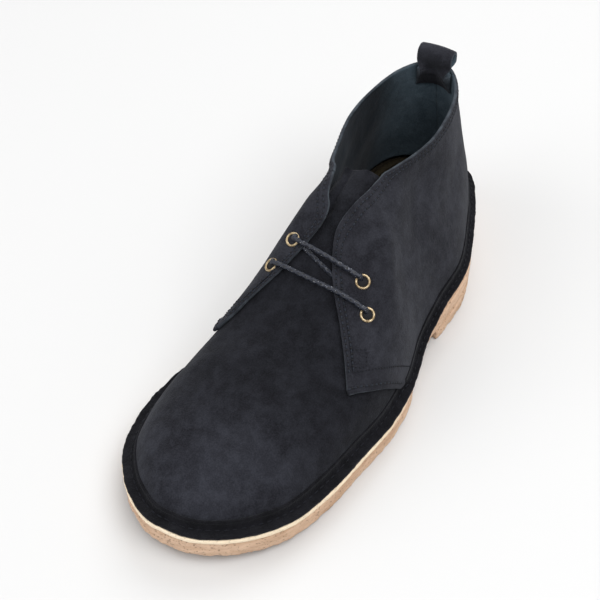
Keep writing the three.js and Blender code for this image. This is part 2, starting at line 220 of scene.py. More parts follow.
outer_side = np.stack([STATIONS["x"], STATIONS["outer"]], -1)
inner_side = np.stack([STATIONS["x"], STATIONS["inner"]], -1)
RING = np.vstack([outer_side, inner_side[-2:0:-1]])
print("the feather line has", len(RING), "rows round the foot")


# %% The feather line and the ribs
EASING = ((-0.6, 0.14), (-0.3, 0.22), (0, 0.28), (0.3, 0.22), (0.6, 0.14))  # (stations away, share)
EASED = 0.7  # how many stations each way of the throat the easing is felt


def feather(side, station, offset=0.0):
    """A point of the feather line, moved out of it by offset, and the direction out of it."""
    side, station, offset = np.broadcast_arrays(side, np.asarray(station, float), offset)
    turn = np.where(side > 0, station, len(RING) - station)
    i = np.floor(turn).astype(int)
    corners = [RING[(i + k) % len(RING)] for k in (-1, 0, 1, 2)]
    f = (turn - i)[..., None]
    along = slope_through(*corners, f)
    out = np.stack([-along[..., 1], along[..., 0]], -1)
    out /= np.linalg.norm(out, axis=-1, keepdims=True)
    return through(*corners, f) + out * offset[..., None], out


def crest_place(station):
    """The place in the crest's table for a station in front of the throat."""
    return np.maximum(station - THROAT, 0) / (TIP - THROAT) * (len(CREST["x"]) - 1)


def crest_at(place):
    return np.stack([column(CREST[name], place) for name in "xyz"], -1)


def crest_fall(place):
    """How steeply the crest of the instep falls to the toe."""
    at = np.minimum(place, len(CREST["x"]) - 1.05)
    step = crest_at(at + 0.02) - crest_at(at)
    return step[..., 2] / step[..., 0]


def sharp_top(side, station):
    """The upper end of the rib. The collar and the crest meet there at an angle."""
    turn = math.pi * np.clip(station / THROAT, 0, 1)
    height = mix(COLLAR["back"], COLLAR["front"], (1 - np.cos(turn)) / 2)
    height = height - COLLAR["dip"] * np.sin(turn) ** 2
    collar = np.stack(
        [
            COLLAR["x"] - COLLAR["half_length"] * np.cos(turn),
            COLLAR["y"] + side * COLLAR["half_width"] * np.sin(turn),
            height,
        ],
        -1,
    )
    return np.where((station <= THROAT)[..., None], collar, crest_at(crest_place(station)))


def rib_top(side, station):
    """The upper end of the rib, eased over the angle, and how steeply the crest falls there."""
    eased = sum(share * sharp_top(side, station + shift) for shift, share in EASING)
    near = hump(station, THROAT, EASED)[..., None]
    return mix(sharp_top(side, station), eased, near), crest_fall(crest_place(station))


def last(side, station, up):
    """A point of the last, in millimetres."""
    side, station, up = np.broadcast_arrays(side, np.asarray(station, float), np.asarray(up, float))
    foot, out = feather(side, station)
    start = np.concatenate([foot, (sole_top(foot[..., 0]) + LEATHER + GAP)[..., None]], -1)
    end, fall = rib_top(side, station)
    tall = end[..., 2] - start[..., 2]
    stand = start.copy()
    stand[..., :2] += out * column(STATIONS["swell"], station)[..., None]
    stand[..., 2] += tall * column(STATIONS["rise"], station)
    over = start - end
    over[..., 2] = over[..., 0] * fall
    arch = end + over * column(STATIONS["crown"], station)[..., None]
    wall = end.copy()
    wall[..., 0] += COLLAR_LEAN * (1 - smooth(0, LEAN_ENDS, station))
    wall[..., 2] -= COLLAR_REACH * tall
    belly = np.where(side > 0, BELLY[OUTER], BELLY[INNER]) * smooth(*BELLY_STATIONS, station)
    wall[..., :2] += out * belly[..., None]
    lean = mix(wall, arch, smooth(*ARCH_STATIONS, station)[..., None])
    v = up[..., None]
    w = 1 - v
    return start * w**3 + stand * 3 * w**2 * v + lean * 3 * w * v**2 + end * v**3


def last_normal(side, station, up):
    """The direction straight out of the last."""
    step, tip, rim = 1e-3, 0.02, 0.985  # the tip and the rim have no slope of their own
    s, v = np.clip(station, step, TIP - tip), np.clip(up, 0, rim)
    along = last(side, s + step, v) - last(side, s - step, v)
    rise = last(side, s, v + step) - last(side, s, v - step)
    normal = np.cross(rise, along) * np.asarray(side, float)[..., None]
    return normal / np.linalg.norm(normal, axis=-1, keepdims=True)


def skin(side, station, up, offset=0.0):
    """A point that stands off the last by offset. Where the two sides meet they give one point."""
    shapes = np.broadcast_arrays(side, np.asarray(station, float), np.asarray(up, float), offset)
    side, station, up, offset = [np.array(s, float) for s in shapes]
    normal = last_normal(side, station, up)
    meets = (station < 1e-6) | (station > TIP - 1e-6) | ((up > 1 - 1e-6) & (station >= THROAT))
    normal = np.where(meets[..., None], normal + last_normal(-side, station, up), normal)
    normal /= np.linalg.norm(normal, axis=-1, keepdims=True)
    return last(side, station, up) + normal * offset[..., None]


# %% From the boot's frame to the scene's
heel_to_toe = np.linspace(0, TIP, 800)
sole_sides = [feather(side, heel_to_toe, FLANGE + MIDSOLE_PROUD)[0] for side in (OUTER, INNER)]
outline = np.vstack(sole_sides)
MIDDLE = np.array([*(outline.min(0) + outline.max(0)) / 2, 0])


def metres(points):
    return (np.asarray(points, float) - MIDDLE) * MM


print("middle of the sole, in millimetres:", MIDDLE.round(2))

# %% [markdown]
# ## Camera, floor and light
#
# A product picture of shoes is taken from above and in front, with even light from all round, so
# that the dark suede still shows its nap. A long lens keeps the shoe's proportions. The lights are
# large area lamps, whose shadows are soft, and a pale world fills in.

# %% Camera
LOOK_AT = metres([150, 0, 40])  # the lens's bearing and distance are measured from here
BEARING, ELEVATION, DISTANCE, FOCAL = 27.0, 46.1, 0.609, 71.9
AIM = metres([152, -10.6, 40])
FRAME_SIDE = 36.0


def from_bearing(bearing, elevation, distance):
    turn, rise = math.radians(bearing), math.radians(elevation)
    flat = math.cos(rise)
    return distance * np.array([math.cos(turn) * flat, math.sin(turn) * flat, math.sin(rise)])


camera = bpy.data.objects.new("camera", bpy.data.cameras.new("camera"))
bpy.context.collection.objects.link(camera)
camera.location = LOOK_AT + from_bearing(BEARING, ELEVATION, DISTANCE)
camera.rotation_euler = (Vector(AIM) - camera.location).to_track_quat("-Z", "Y").to_euler()
camera.data.sensor_width = FRAME_SIDE
camera.data.lens = FOCAL
camera.data.clip_start = 0.01
bpy.context.scene.camera = camera
bpy.context.scene.view_settings.view_transform = "Standard"
print("camera at", [round(v, 3) for v in camera.location])


# %% Floor and lamps
def lamp(name, bearing, elevation, distance, size, power):
    data = bpy.data.lights.new(name, "AREA")
    data.shape = "DISK"
    data.size = size
    data.energy = power
    light = bpy.data.objects.new(name, data)
    light.location = from_bearing(bearing, elevation, distance)
    light.rotation_euler = (-light.location).to_track_quat("-Z", "Y").to_euler()
    bpy.context.collection.objects.link(light)


lamp("key", 70, 62, 1.6, 1.3, 17)
lamp("fill", -50, 40, 1.7, 1.5, 10)
lamp("back", 190, 50, 1.6, 1.2, 10)
world = bpy.data.worlds.new("studio")
world.use_nodes = True
world.node_tree.nodes["Background"].inputs["Color"].default_value = (1, 1, 1, 1)
world.node_tree.nodes["Background"].inputs["Strength"].default_value = 0.62
bpy.context.scene.world = world

# %% [markdown]
# ## A way to write materials
#
# Shader maths reads best as plain sums. One small class wraps a socket and overloads the
# operators, so that an expression adds its own Math nodes. Colours go through Mix nodes, because
# a Math node would turn them grey. Numbers that are the same all over a piece are set on the
# shader's own sockets.


# %% Sockets that add up
class Value:
    """A float socket that can be used in a sum."""

    def __init__(self, paint, socket):
        self.paint, self.socket = paint, socket

    def _maths(self, operation, *others):
        return self.paint.node("ShaderNodeMath", {"operation": operation}, list(others))

    def __add__(self, other):
        return self._maths("ADD", self, other)

    def __mul__(self, other):
        return self._maths("MULTIPLY", self, other)

    def __sub__(self, other):
        return self._maths("SUBTRACT", self, other)

    def __rsub__(self, other):
        return self._maths("SUBTRACT", other, self)

    __radd__, __rmul__ = __add__, __mul__

    def above(self, other):
        return self._maths("MAXIMUM", self, other)

    def between(self, low, high):
        """0 below low, 1 above high, and smooth between."""
        values = {"Value": self, "From Min": low, "From Max": high}
        return self.paint.node("ShaderNodeMapRange", {"interpolation_type": "SMOOTHSTEP"}, values)


# The Mix node has sockets of the same name for numbers and colours, so they go by their number.
MIX_SHARE, MIX_A, MIX_B, MIX_COLOUR = 0, 6, 7, 2


class Paint:
    """A material under construction."""

    def __init__(self, name):
        self.material = bpy.data.materials.new(name)
        self.material.use_nodes = True
        self.tree = self.material.node_tree
        self.shader = self.tree.nodes["Principled BSDF"]

    def node(self, kind, settings, values, output=0):
        """Any node: its settings, and the values or links of its sockets."""
        made = self.tree.nodes.new(kind)
        for name, value in settings.items():
            setattr(made, name, value)
        pairs = values.items() if isinstance(values, dict) else enumerate(values)
        for key, value in pairs:
            self.put(made.inputs[key], value)
        return Value(self, made.outputs[output])

    def put(self, socket, value):
        if isinstance(value, Value):
            self.tree.links.new(value.socket, socket)
        else:
            socket.default_value = value

    def where(self):
        return self.node("ShaderNodeTexCoord", {}, {}, "Object")

    def attribute(self, name):
        return self.node("ShaderNodeAttribute", {"attribute_name": name}, {}, "Fac")

    def noise(self, scale, detail=3.0, roughness=0.55, distortion=0.0, vector=None):
        values = {"Scale": scale, "Detail": detail, "Roughness": roughness, "Distortion": distortion}
        return self.node("ShaderNodeTexNoise", {}, {"Vector": vector or self.where(), **values})

    def stretched(self, x, y, z):
        """Object coordinates with each direction stretched."""
        return self.node("ShaderNodeMapping", {}, {"Vector": self.where(), "Scale": (x, y, z)})

    def along(self):
        """How far forward a point is, in metres from the middle of the boot."""
        return self.node("ShaderNodeSeparateXYZ", {}, {"Vector": self.where()}, "X")

    def blend(self, share, a, b):
        """The colour a where the share is 0, and b where it is 1."""
        values = {MIX_SHARE: share, MIX_A: colour(a), MIX_B: colour(b)}
        return self.node("ShaderNodeMix", {"data_type": "RGBA"}, values, MIX_COLOUR)

    def bump(self, height, distance, strength=1.0):
        values = {"Height": height, "Distance": distance, "Strength": strength}
        self.put(self.shader.inputs["Normal"], self.node("ShaderNodeBump", {}, values))

    def set(self, **values):
        for name, value in values.items():
            self.put(self.shader.inputs[name.replace("_", " ")], value)
        return self


def colour(value):
    """A colour given as red, green and blue from 0 to 255, made linear."""
    if isinstance(value, Value) or len(value) == 4:
        return value
    return (*[(v / 255) ** 2.2 for v in value], 1)


print("materials are written with Value and Paint")

# %% [markdown]
# ## Suede
#
# Suede is the flesh side of leather, brushed to a nap of very short fibres. It has no shine: light
# catches the fibres' tips, so the surface looks a little paler at a glancing angle, which sheen
# gives. Where the nap lies another way it looks lighter or darker, in soft patches as big as a
# thumb, and close by it has a fine grain. A cut edge shows paler core. The inside has painted light
# and shade: it is painted paler at the heel, where light falls in, and painted nearly black with
# shade further forward. The vamp's suede is a darker copy, painted shade where it catches less light
# than the quarters, and a painted highlight makes it paler to the toe. The turned-out edge is the
# darkest.


# %% Suede finishes
# The inside's colours: painted light at the heel, and painted shade further forward.
LINING_LIT_AND_SHADED = [((62, 75, 84), (96, 110, 120)), ((11, 16, 20), (23, 32, 39))]  # at the heel, further forward
LINING_SHADE_STOPS = (-0.142, -0.1)  # between these places along the boot, in metres
# Where the vamp's painted highlight grows towards the toe, in metres along the boot.
TOE_HIGHLIGHT_STOPS = (0.055, 0.13)


def suede(name, dark, light, patch=34.0, edge=(68, 74, 80), grain=0.00022, toe=1.0):
    """Suede. toe is how much paler it gets from the instep to the toe, as a painted highlight."""
    paint = Paint(name)
    patches = paint.noise(patch, 4, 0.6, 0.6).between(0.36, 0.68)
    streaks = paint.noise(150, 4, 0.65).between(0.38, 0.66)
    fibres = paint.noise(1500, 2, 0.6).between(0.3, 0.75)
    nap = patches * 0.32 + streaks * 0.3 + fibres * 0.38
    body = paint.blend(nap, dark, light)
    if toe > 1:
        # Painted highlight: paler towards the toe.
        toe_highlight = [[part * toe for part in shade] for shade in (dark, light)]
        body = paint.blend(paint.along().between(*TOE_HIGHLIGHT_STOPS), body, paint.blend(nap, *toe_highlight))
    # Painted light and shade inside: pale at the heel, nearly black further forward.
    back, front = [paint.blend(nap, *shades) for shades in LINING_LIT_AND_SHADED]
    lit_and_shaded_lining = paint.blend(paint.along().between(*LINING_SHADE_STOPS), back, front)
    body = paint.blend(paint.attribute("inside"), body, lit_and_shaded_lining)
    body = paint.blend(paint.attribute("cut") * (streaks * 0.6 + 0.3), body, edge)
    paint.set(Base_Color=body, Roughness=0.95, Sheen_Weight=0.06, Sheen_Roughness=0.5)
    paint.set(Sheen_Tint=(0.85, 0.88, 0.95, 1), Specular_IOR_Level=0.08)
    height = fibres * 0.5 + streaks * 0.5 + paint.noise(520, 3, 0.6) * 0.8
    paint.bump(height, grain, 0.9)
    return paint.material


UPPER_SUEDE = suede("upper_suede", (29, 29, 33), (54, 55, 61))
# The vamp's copy is darker, as painted shade, and paler to the toe, as a painted highlight.
VAMP_SUEDE_SHADED = suede("vamp_suede_shade_and_toe_highlight", (20, 20, 23), (41, 42, 47), toe=1.32)
EDGE_SUEDE = suede("turned_edge_suede", (17, 17, 19), (33, 33, 37), 60, (36, 36, 40), grain=0.00035)
print(UPPER_SUEDE.name, VAMP_SUEDE_SHADED.name, EDGE_SUEDE.name)

# %% [markdown]
# ## The other finishes
#
# Crepe is raw rubber in crinkled sheets: a warm tan, with paler and browner streaks that run
# along the sheet, small pits that are painted darker as shade, and a matt surface. The midsole is a
# thin layer, cream at the toe and as tan as the crepe at the heel, with painted shade on its top
# inside the boot. The sock is brown leather, painted darker with the shade inside the boot. The
# eyelets are aged brass, and the lace is cotton braid with wax, whose glints are painted as small
# bright flecks between the strands. There are two threads, and a black that is painted shade for
# the hollow of a hole.


# %% Rubber finishes
HEEL_COLOUR_STOPS = (-0.02, 0.06)  # between these places along the boot, in metres
# Painted shade for the midsole's top, inside the boot.
INSIDE_SHADE_COLOUR = (34, 28, 18)


def rubber(name, dark, light, pit_shade, heel=None):
    """Rubber. heel is the colour that it has at the heel and the waist."""
    paint = Paint(name)
    sheets = paint.noise(90, 5, 0.65, 0.4, paint.stretched(0.35, 0.35, 2.2)).between(0.3, 0.7)
    pits = paint.noise(900, 2, 0.5).between(0.28, 0.42)
    body = paint.blend(sheets * 0.75 + paint.noise(420, 3) * 0.35, dark, light)
    # Painted shade: darker in the pits, where the bump sinks.
    body = paint.blend((1 - pits) * pit_shade, body, [v * 0.62 for v in dark])
    if heel:
        body = paint.blend(paint.along().between(*HEEL_COLOUR_STOPS), heel, body)
        # Painted shade where the midsole's top lies inside the boot.
        body = paint.blend(paint.attribute("inside_shade"), body, INSIDE_SHADE_COLOUR)
    paint.set(Base_Color=body, Roughness=0.82, Specular_IOR_Level=0.25)
    paint.bump(paint.noise(1300, 3, 0.6) * 0.6 + pits, 0.00035, 0.8)
    return paint.material


CREPE = rubber("natural_crepe", (182, 147, 119), (217, 186, 160), 0.65)
CREAM = rubber("cream_midsole", (228, 206, 176), (247, 231, 205), 0.2, heel=(196, 162, 134))


# %% Sock, brass, lace and thread finishes
def shaded_sock_leather():
    paint = Paint("shaded_sock_leather")
    mottle = paint.noise(60, 5, 0.6).between(0.3, 0.7)
    # Brown leather, painted darker with the shade inside the boot.
    body = paint.blend(mottle, (25, 21, 11), (37, 31, 17))
    body = paint.blend(paint.attribute("pressed"), body, (50, 43, 26))
    paint.set(Base_Color=body, Roughness=0.72, Specular_IOR_Level=0.3)
    paint.bump(paint.noise(1400, 3, 0.6), 0.00015, 0.7)
    return paint.material


def aged_brass():
    paint = Paint("aged_brass")
    tarnish = paint.noise(700, 4, 0.6).between(0.35, 0.7)
    body = paint.blend(tarnish, (196, 177, 144), (124, 106, 80))
    paint.set(Base_Color=body, Metallic=0.9, Roughness=0.34 + tarnish * 0.2)
    paint.bump(tarnish, 0.00005, 0.5)
    return paint.material


STRANDS = 3


def waxed_braid():
    """Strands wind round the lace: the wave runs along it and round it, on the piece's own UV map."""
    paint = Paint("waxed_braid")
    around = paint.node("ShaderNodeUVMap", {"uv_map": "UVMap"}, {})
    split = paint.node("ShaderNodeSeparateXYZ", {}, {"Vector": around}, "X")
    across = paint.node("ShaderNodeSeparateXYZ", {}, {"Vector": around}, "Y")
    wave = {"operation": "SINE"}
    left = paint.node("ShaderNodeMath", wave, [(split + across * STRANDS) * (2 * math.pi)])
    right = paint.node("ShaderNodeMath", wave, [(split - across * STRANDS) * (2 * math.pi)])
    strands = left.above(right) * 0.5 + 0.5
    # Painted glints: pale flecks on the wax between the strands.
    wax_glints = paint.noise(1100, 3, 0.7).between(0.6, 0.7) * (1 - strands.between(0.75, 1.0))
    body = paint.blend(strands, (10, 13, 21), (27, 32, 45))
    body = paint.blend(wax_glints * 0.85, body, (186, 190, 200))
    paint.set(Base_Color=body, Roughness=0.5 - wax_glints * 0.2, Specular_IOR_Level=0.5)
    paint.bump(strands, 0.0003, 0.9)
    return paint.material


def thread(name, dark, light):
    paint = Paint(name)
    twist = paint.noise(2600, 2).between(0.35, 0.65)
    paint.set(Base_Color=paint.blend(twist, dark, light), Roughness=0.7, Specular_IOR_Level=0.3)
    return paint.material


SOCK, BRASS, BRAID = shaded_sock_leather(), aged_brass(), waxed_braid()
THREAD = thread("navy_thread", (16, 19, 26), (40, 46, 56))
DARK_THREAD = thread("dark_thread", (7, 8, 12), (19, 22, 33))
# Painted shade: black for the hollow of a hole.
HOLE_SHADE = Paint("painted_hole_shade").set(Base_Color=(0.006, 0.006, 0.008, 1), Roughness=0.95).material
print("finishes:", ", ".join(paint.name for paint in (SOCK, BRASS, BRAID, THREAD, DARK_THREAD, HOLE_SHADE)))

# %% [markdown]
# ## Meshes from grids
#
# A piece of leather is a sheet with a thickness, and its cut edges are slightly rounded. Solidify
# could thicken a surface, but then its rounded edges and the parts that show the core would have
# to be found again. Here each row of the sheet is a closed section: up the outer face, round the
# edge, down the inner face and round the other edge. Rows joined one to the next give the sheet,
# and every vertex can say whether it is on a cut edge or inside.


# %% Rows of closed sections
def make_object(name, points, faces, material, marks=None):
    """A mesh object at the origin, from points in the boot's millimetres."""
    mesh = bpy.data.meshes.new(name)
    mesh.from_pydata([tuple(p) for p in metres(points)], [], [tuple(map(int, face)) for face in faces])
    mesh.materials.append(material)
    for mark, values in (marks or {}).items():
        layer = mesh.attributes.new(mark, "FLOAT", "POINT")
        layer.data.foreach_set("value", np.asarray(values, np.float32))
    mesh.shade_smooth()
    mesh.update()
    piece = bpy.data.objects.new(name, mesh)
    bpy.context.collection.objects.link(piece)
    return piece


def facing_out(piece):
    """Turns every face outwards."""
    work = bmesh.new()
    work.from_mesh(piece.data)
    bmesh.ops.remove_doubles(work, verts=work.verts, dist=1e-7)
    bmesh.ops.recalc_face_normals(work, faces=work.faces)
    work.to_mesh(piece.data)
    work.free()
    return piece


def section_faces(count, width, closed):
    """The faces between rows that are each a loop of points, and the flat faces at the two ends."""
    i, j = np.meshgrid(np.arange(count if closed else count - 1), np.arange(width), indexing="ij")
    a, b = i * width + j, i * width + (j + 1) % width
    c, d = ((i + 1) % count) * width + (j + 1) % width, ((i + 1) % count) * width + j
    faces = np.stack([a, b, c, d], -1).reshape(-1, 4).tolist()
    if not closed:
        last_row = (count - 1) * width
        half = width // 2
        for row in (0, last_row):
            far = row + width - 1
            faces += [[row + k, row + k + 1, far - 1 - k, far - k] for k in range(half - 1)]
    return faces


EDGE_STEPS = 3
EDGE_BULGE = 0.75  # 1 would be half round


def rounded(outer, inner, beyond):
    """Points round a cut edge, from the outer face's last point to the inner one's."""
    middle, half = (outer + inner) / 2, (outer - inner) / 2
    turns = np.pi * np.arange(1, EDGE_STEPS + 1) / (EDGE_STEPS + 1)
    bulge = beyond * np.linalg.norm(half, axis=-1, keepdims=True) * EDGE_BULGE
    return [middle + half * math.cos(t) + bulge * math.sin(t) for t in turns]


def unit(vectors):
    return vectors / np.maximum(np.linalg.norm(vectors, axis=-1, keepdims=True), 1e-9)


def leather_sheet(name, outer, inner, material):
    """A sheet between two grids of points, whose rows are sections. Its edges are rounded."""
    top = rounded(outer[:, -1], inner[:, -1], unit(outer[:, -1] - outer[:, -2]))
    low = rounded(inner[:, 0], outer[:, 0], unit(outer[:, 0] - outer[:, 1]))
    section = [*np.moveaxis(outer, 1, 0), *top, *np.moveaxis(inner[:, ::-1], 1, 0), *low]
    grid = np.stack(section, 1)
    count, width = grid.shape[:2]
    across = outer.shape[1]
    cut, inside = np.zeros(width), np.zeros(width)
    cut[across : across + EDGE_STEPS] = 1
    cut[2 * across + EDGE_STEPS :] = 1
    inside[across + EDGE_STEPS - 1 : 2 * across + EDGE_STEPS + 1] = 1
    marks = {"cut": np.tile(cut, count), "inside": np.tile(inside, count)}
    faces = section_faces(count, width, False)
    return make_object(name, grid.reshape(-1, 3), faces, material, marks)


def rough(points, scale, depth, seed=0.0):
    """Soft unevenness for each point, in millimetres."""
    flat = np.asarray(points).reshape(-1, 3) * scale + seed
    values = np.array([noise.noise(Vector(p)) for p in flat])
    return (values * depth).reshape(np.asarray(points).shape[:-1])


print("a section's cut edge has", EDGE_STEPS, "points")

# %% [markdown]
# ## Creases
#
# An almost new suede boot has few creases, but its leather is soft: it dents a little round the
# ankle, where it bends, and across the vamp behind the toes. Each crease is a soft trough or ridge
# between two places on the last, with a width and a depth.

# %% Troughs and ridges
STATION_LENGTH, RIB_LENGTH = 24.0, 78.0  # millimetres that one station and one whole rib stand for
PLACES = "side at1 up1 at2 up2 wide deep"
CREASES = {
    "quarters": rows(
        PLACES,
        (OUTER, 3.9, 0.80, 5.0, 0.52, 9, -1.5),
        (OUTER, 4.8, 0.84, 5.6, 0.66, 9, 0.9),
        (OUTER, 2.2, 0.62, 3.6, 0.42, 10, -1.0),
        (OUTER, 5.6, 0.50, 6.6, 0.34, 9, -0.9),
        (OUTER, 6.3, 0.64, 7.0, 0.50, 7, 0.7),
        (INNER, 4.0, 0.74, 5.1, 0.52, 9, -1.5),
        (INNER, 5.3, 0.93, 6.5, 0.84, 16, 3.0),
        (INNER, 2.4, 0.60, 3.8, 0.40, 10, -1.0),
        (INNER, 5.8, 0.46, 6.9, 0.30, 9, -0.9),
    ),
    "vamp": rows(
        PLACES,
        (OUTER, 9.2, 0.62, 9.7, 0.94, 8, -0.7),
        (INNER, 9.2, 0.66, 9.6, 0.94, 8, -0.7),
        (OUTER, 9.9, 0.55, 10.2, 0.9, 7, 0.4),
        (INNER, 9.8, 0.55, 10.1, 0.9, 7, 0.4),
        (OUTER, 5.6, 0.93, 7.3, 0.92, 5, 1.2),
        (INNER, 5.9, 0.965, 7.3, 0.965, 2.8, -1.7),
    ),
}


def crease(piece, side, station, up):
    """How far a piece's creases push its leather out at each place, in millimetres."""
    side, station, up = np.broadcast_arrays(side, station, up)
    here = np.stack([station * STATION_LENGTH, up * RIB_LENGTH], -1)
    depth = np.zeros(station.shape)
    for row in zip(*CREASES[piece].values()):
        crease_side, at1, up1, at2, up2, wide, deep = row
        start = np.array([at1 * STATION_LENGTH, up1 * RIB_LENGTH])
        run = np.array([at2 * STATION_LENGTH, up2 * RIB_LENGTH]) - start
        share = np.clip(((here - start) @ run) / (run @ run), 0, 1)
        away = np.linalg.norm(here - start - share[..., None] * run, axis=-1)
        depth += np.where(side == crease_side, deep * hump(away, 0, wide), 0)
    return depth


def leather_skin(piece, side, station, up, offset):
    """The skin of the last with a piece's creases and the leather's unevenness."""
    plain = skin(side, station, up, 0)
    relief = crease(piece, side, station, up) + rough(plain, 0.045, 0.5) + rough(plain, 0.13, 0.14, 7.0)
    fade = smooth(0, 0.08, up)
    return skin(side, station, up, offset + relief * fade)


print(sum(len(table["side"]) for table in CREASES.values()), "creases")

# %% [markdown]
# ## Quarters
#
# The quarters are the two pieces round the heel, joined by a seam up the back. Their front flaps
# lie over the vamp and carry the eyelets. Their upper edge is the collar and then the facing; the
# lower edge runs along the feather line and then climbs over the vamp to the flap's square corner.

# %% Quarters
QUARTER_ROWS, QUARTER_COLUMNS = 230, 64
FLAP_LIFT = 0.8  # how far a flap's free edge stands off the vamp
LIFT_BAND = 0.12  # how far in from the edge the leather lifts, in heights up the rib
QUARTER_CLEAR = 0.06  # between the last and the quarter's inner face


def flap_line(side, count):
    """Stations along a quarter, with the heights of its upper and its lower edge."""
    flap = FLAPS[side]
    place = np.linspace(0, len(flap["at"]) - 1, count)
    station, top, low = (column(flap[name], place) for name in ("at", "top", "low"))
    return np.clip(station, 0, TIP), np.minimum(top, 1), np.maximum(low, 0)


def flap_lift(station, up, top, low):
    """How far the flap's free edges stand off the vamp, so that they throw a shadow on it."""
    below = (1 - smooth(0, LIFT_BAND, up - low)) * smooth(0.02, 0.15, low)
    front = (1 - smooth(0, LIFT_BAND, top - up)) * smooth(7.7, 8.3, station)
    return FLAP_LIFT * np.maximum(below, front)


def quarter(side, name):
    station, top, low = flap_line(side, QUARTER_ROWS)
    share = np.linspace(0, 1, QUARTER_COLUMNS)
    up = mix(low[:, None], top[:, None], share)
    at = np.repeat(station[:, None], QUARTER_COLUMNS, 1)
    lift = flap_lift(at, up, top[:, None], low[:, None])
    outer = leather_skin("quarters", side, at, up, LEATHER + lift)
    inner = leather_skin("quarters", side, at, up, QUARTER_CLEAR + lift)
    return facing_out(leather_sheet(name, outer, inner, UPPER_SUEDE))


outer_quarter = quarter(OUTER, "outer_quarter")
inner_quarter = quarter(INNER, "inner_quarter")
print("quarters:", len(outer_quarter.data.vertices), "points each")

# %% [markdown]
# ## Vamp and tongue
#
# The vamp covers the toes and runs on as the tongue, in one piece of suede. Its rows run from the
# tongue's top to the toe's tip, and bend back under the quarters at the sides, where nothing shows.
# A worn tongue isn't flat: the middle of its top is drawn back, its sides reach further back than
# the throat, and its outer half stands up in a soft fold under the upper bar of the lace.

# %% Vamp and tongue
TONGUE_JOIN = 8.3  # in front of this station the rows run straight across
VAMP_SPLIT = 0.34  # the share of the rows behind it
TONGUE_REACH = {OUTER: 0.8, INNER: 0.4}  # the tongue's top reaches this much further back at its sides
TONGUE_RISE = 3.0  # and its outer half stands this much higher
TONGUE_PULL = 4.0  # the middle of its top is drawn back this much
RISE_STATION, RISE_SPREAD = 5.6, 0.42  # where the fold stands highest, and how wide it is
PULL_SPREAD = 0.35
EDGE_BLEND = 0.03  # how much of the rib the tongue's edge takes to turn into the slanting back row
UNDER_FROM, UNDER_TO = 8.35, 7.5  # between these stations the tongue sinks in under the flaps
VAMP_ROWS, VAMP_COLUMNS, VAMP_CROWDING = 210, 76, 1.4  # the columns crowd together at the crest


def vamp_station(side, t, up):
    """The station of a place on the vamp, t of the way from the tongue's top to the toe."""
    slant = mix(VAMP_LOW, VAMP_BACK, np.minimum(up / (TONGUE_EDGE - EDGE_BLEND), 1))
    top = TONGUE_TOP - TONGUE_REACH[side] * smooth(0.66, 0.9, up) * (1 - smooth(0.93, 1, up))
    back = mix(slant, top, smooth(TONGUE_EDGE - EDGE_BLEND, TONGUE_EDGE, up))
    behind = mix(back, TONGUE_JOIN, np.minimum(t / VAMP_SPLIT, 1))
    return mix(behind, TIP, np.maximum((t - VAMP_SPLIT) / (1 - VAMP_SPLIT), 0))


def vamp_grid(offset):
    """The vamp's points, from the outer feather line over the crest to the inner one."""
    t = np.linspace(0, 1, VAMP_ROWS)[:, None]
    halves = []
    for side, order in ((OUTER, 1), (INNER, -1)):
        up = 1 - (1 - np.linspace(0, 1, VAMP_COLUMNS)[None, ::order]) ** VAMP_CROWDING
        up = (up[:, 1:] if side == INNER else up) + 0 * t
        station = vamp_station(side, t, up)
        under = TONGUE_UNDER * smooth(UNDER_FROM, UNDER_TO, station) * smooth(0.4, 0.6, up)
        points = leather_skin("vamp", side, station, up, offset - under)
        points[..., 2] += TONGUE_RISE * hump(station, RISE_STATION, RISE_SPREAD) * smooth(0.86, 0.99, up)
        points[..., 0] -= TONGUE_PULL * hump(station, THROAT, PULL_SPREAD) * smooth(0.9, 1, up)
        halves.append(points)
    return np.concatenate(halves, 1)


vamp = facing_out(leather_sheet("vamp_and_tongue", vamp_grid(0), vamp_grid(-LEATHER), VAMP_SUEDE_SHADED))
print("vamp:", len(vamp.data.vertices), "points")

# %% [markdown]
# ## The turned-out edge
#
# This make is called stitchdown: the upper's lower edge is turned outwards over the midsole, and
# sewn through it. It is one band all round, seen from above, with a soft bend where it leaves the
# wall. Its suede is coloured darker. The band is a section carried round the feather line.

# %% Turned-out edge
BAND_ROWS = 700
BAND_WIDTH = 6.6  # of the section as it is drawn
RIM_OUT, RIM_UP, RIM_CUT = 6.3, 0.5, 0.6  # past these places a point shows the cut edge, so strongly
SECTION = rows(
    # out: from the wall's foot. up: above the midsole.
    "out up",
    (-1.2, 6.4),
    (0.12, 6.2),
    (0.2, 4.6),
    (0.75, 3.2),
    (2.0, 2.45),
    (3.4, 2.2),
    (5.0, 2.15),
    (6.2, 2.1),
    (6.7, 1.7),
    (6.75, 1.1),
    (6.55, 0.5),
    (5.6, 0.3),
    (2.5, 0.3),
    (-1.2, 0.3),
)


def round_the_foot(count):
    """Side and station for each row of a loop round the foot."""
    t = np.arange(count) / count * 2 * TIP
    side = np.where(t <= TIP, OUTER, INNER)
    return side, np.where(t <= TIP, t, 2 * TIP - t)


def wall_offset(station):
    """The wall's outer face stands on the quarters behind this station, and on the vamp before it."""
    return LEATHER * (1 - smooth(FLAP_START - 0.08, FLAP_START + 0.04, station))


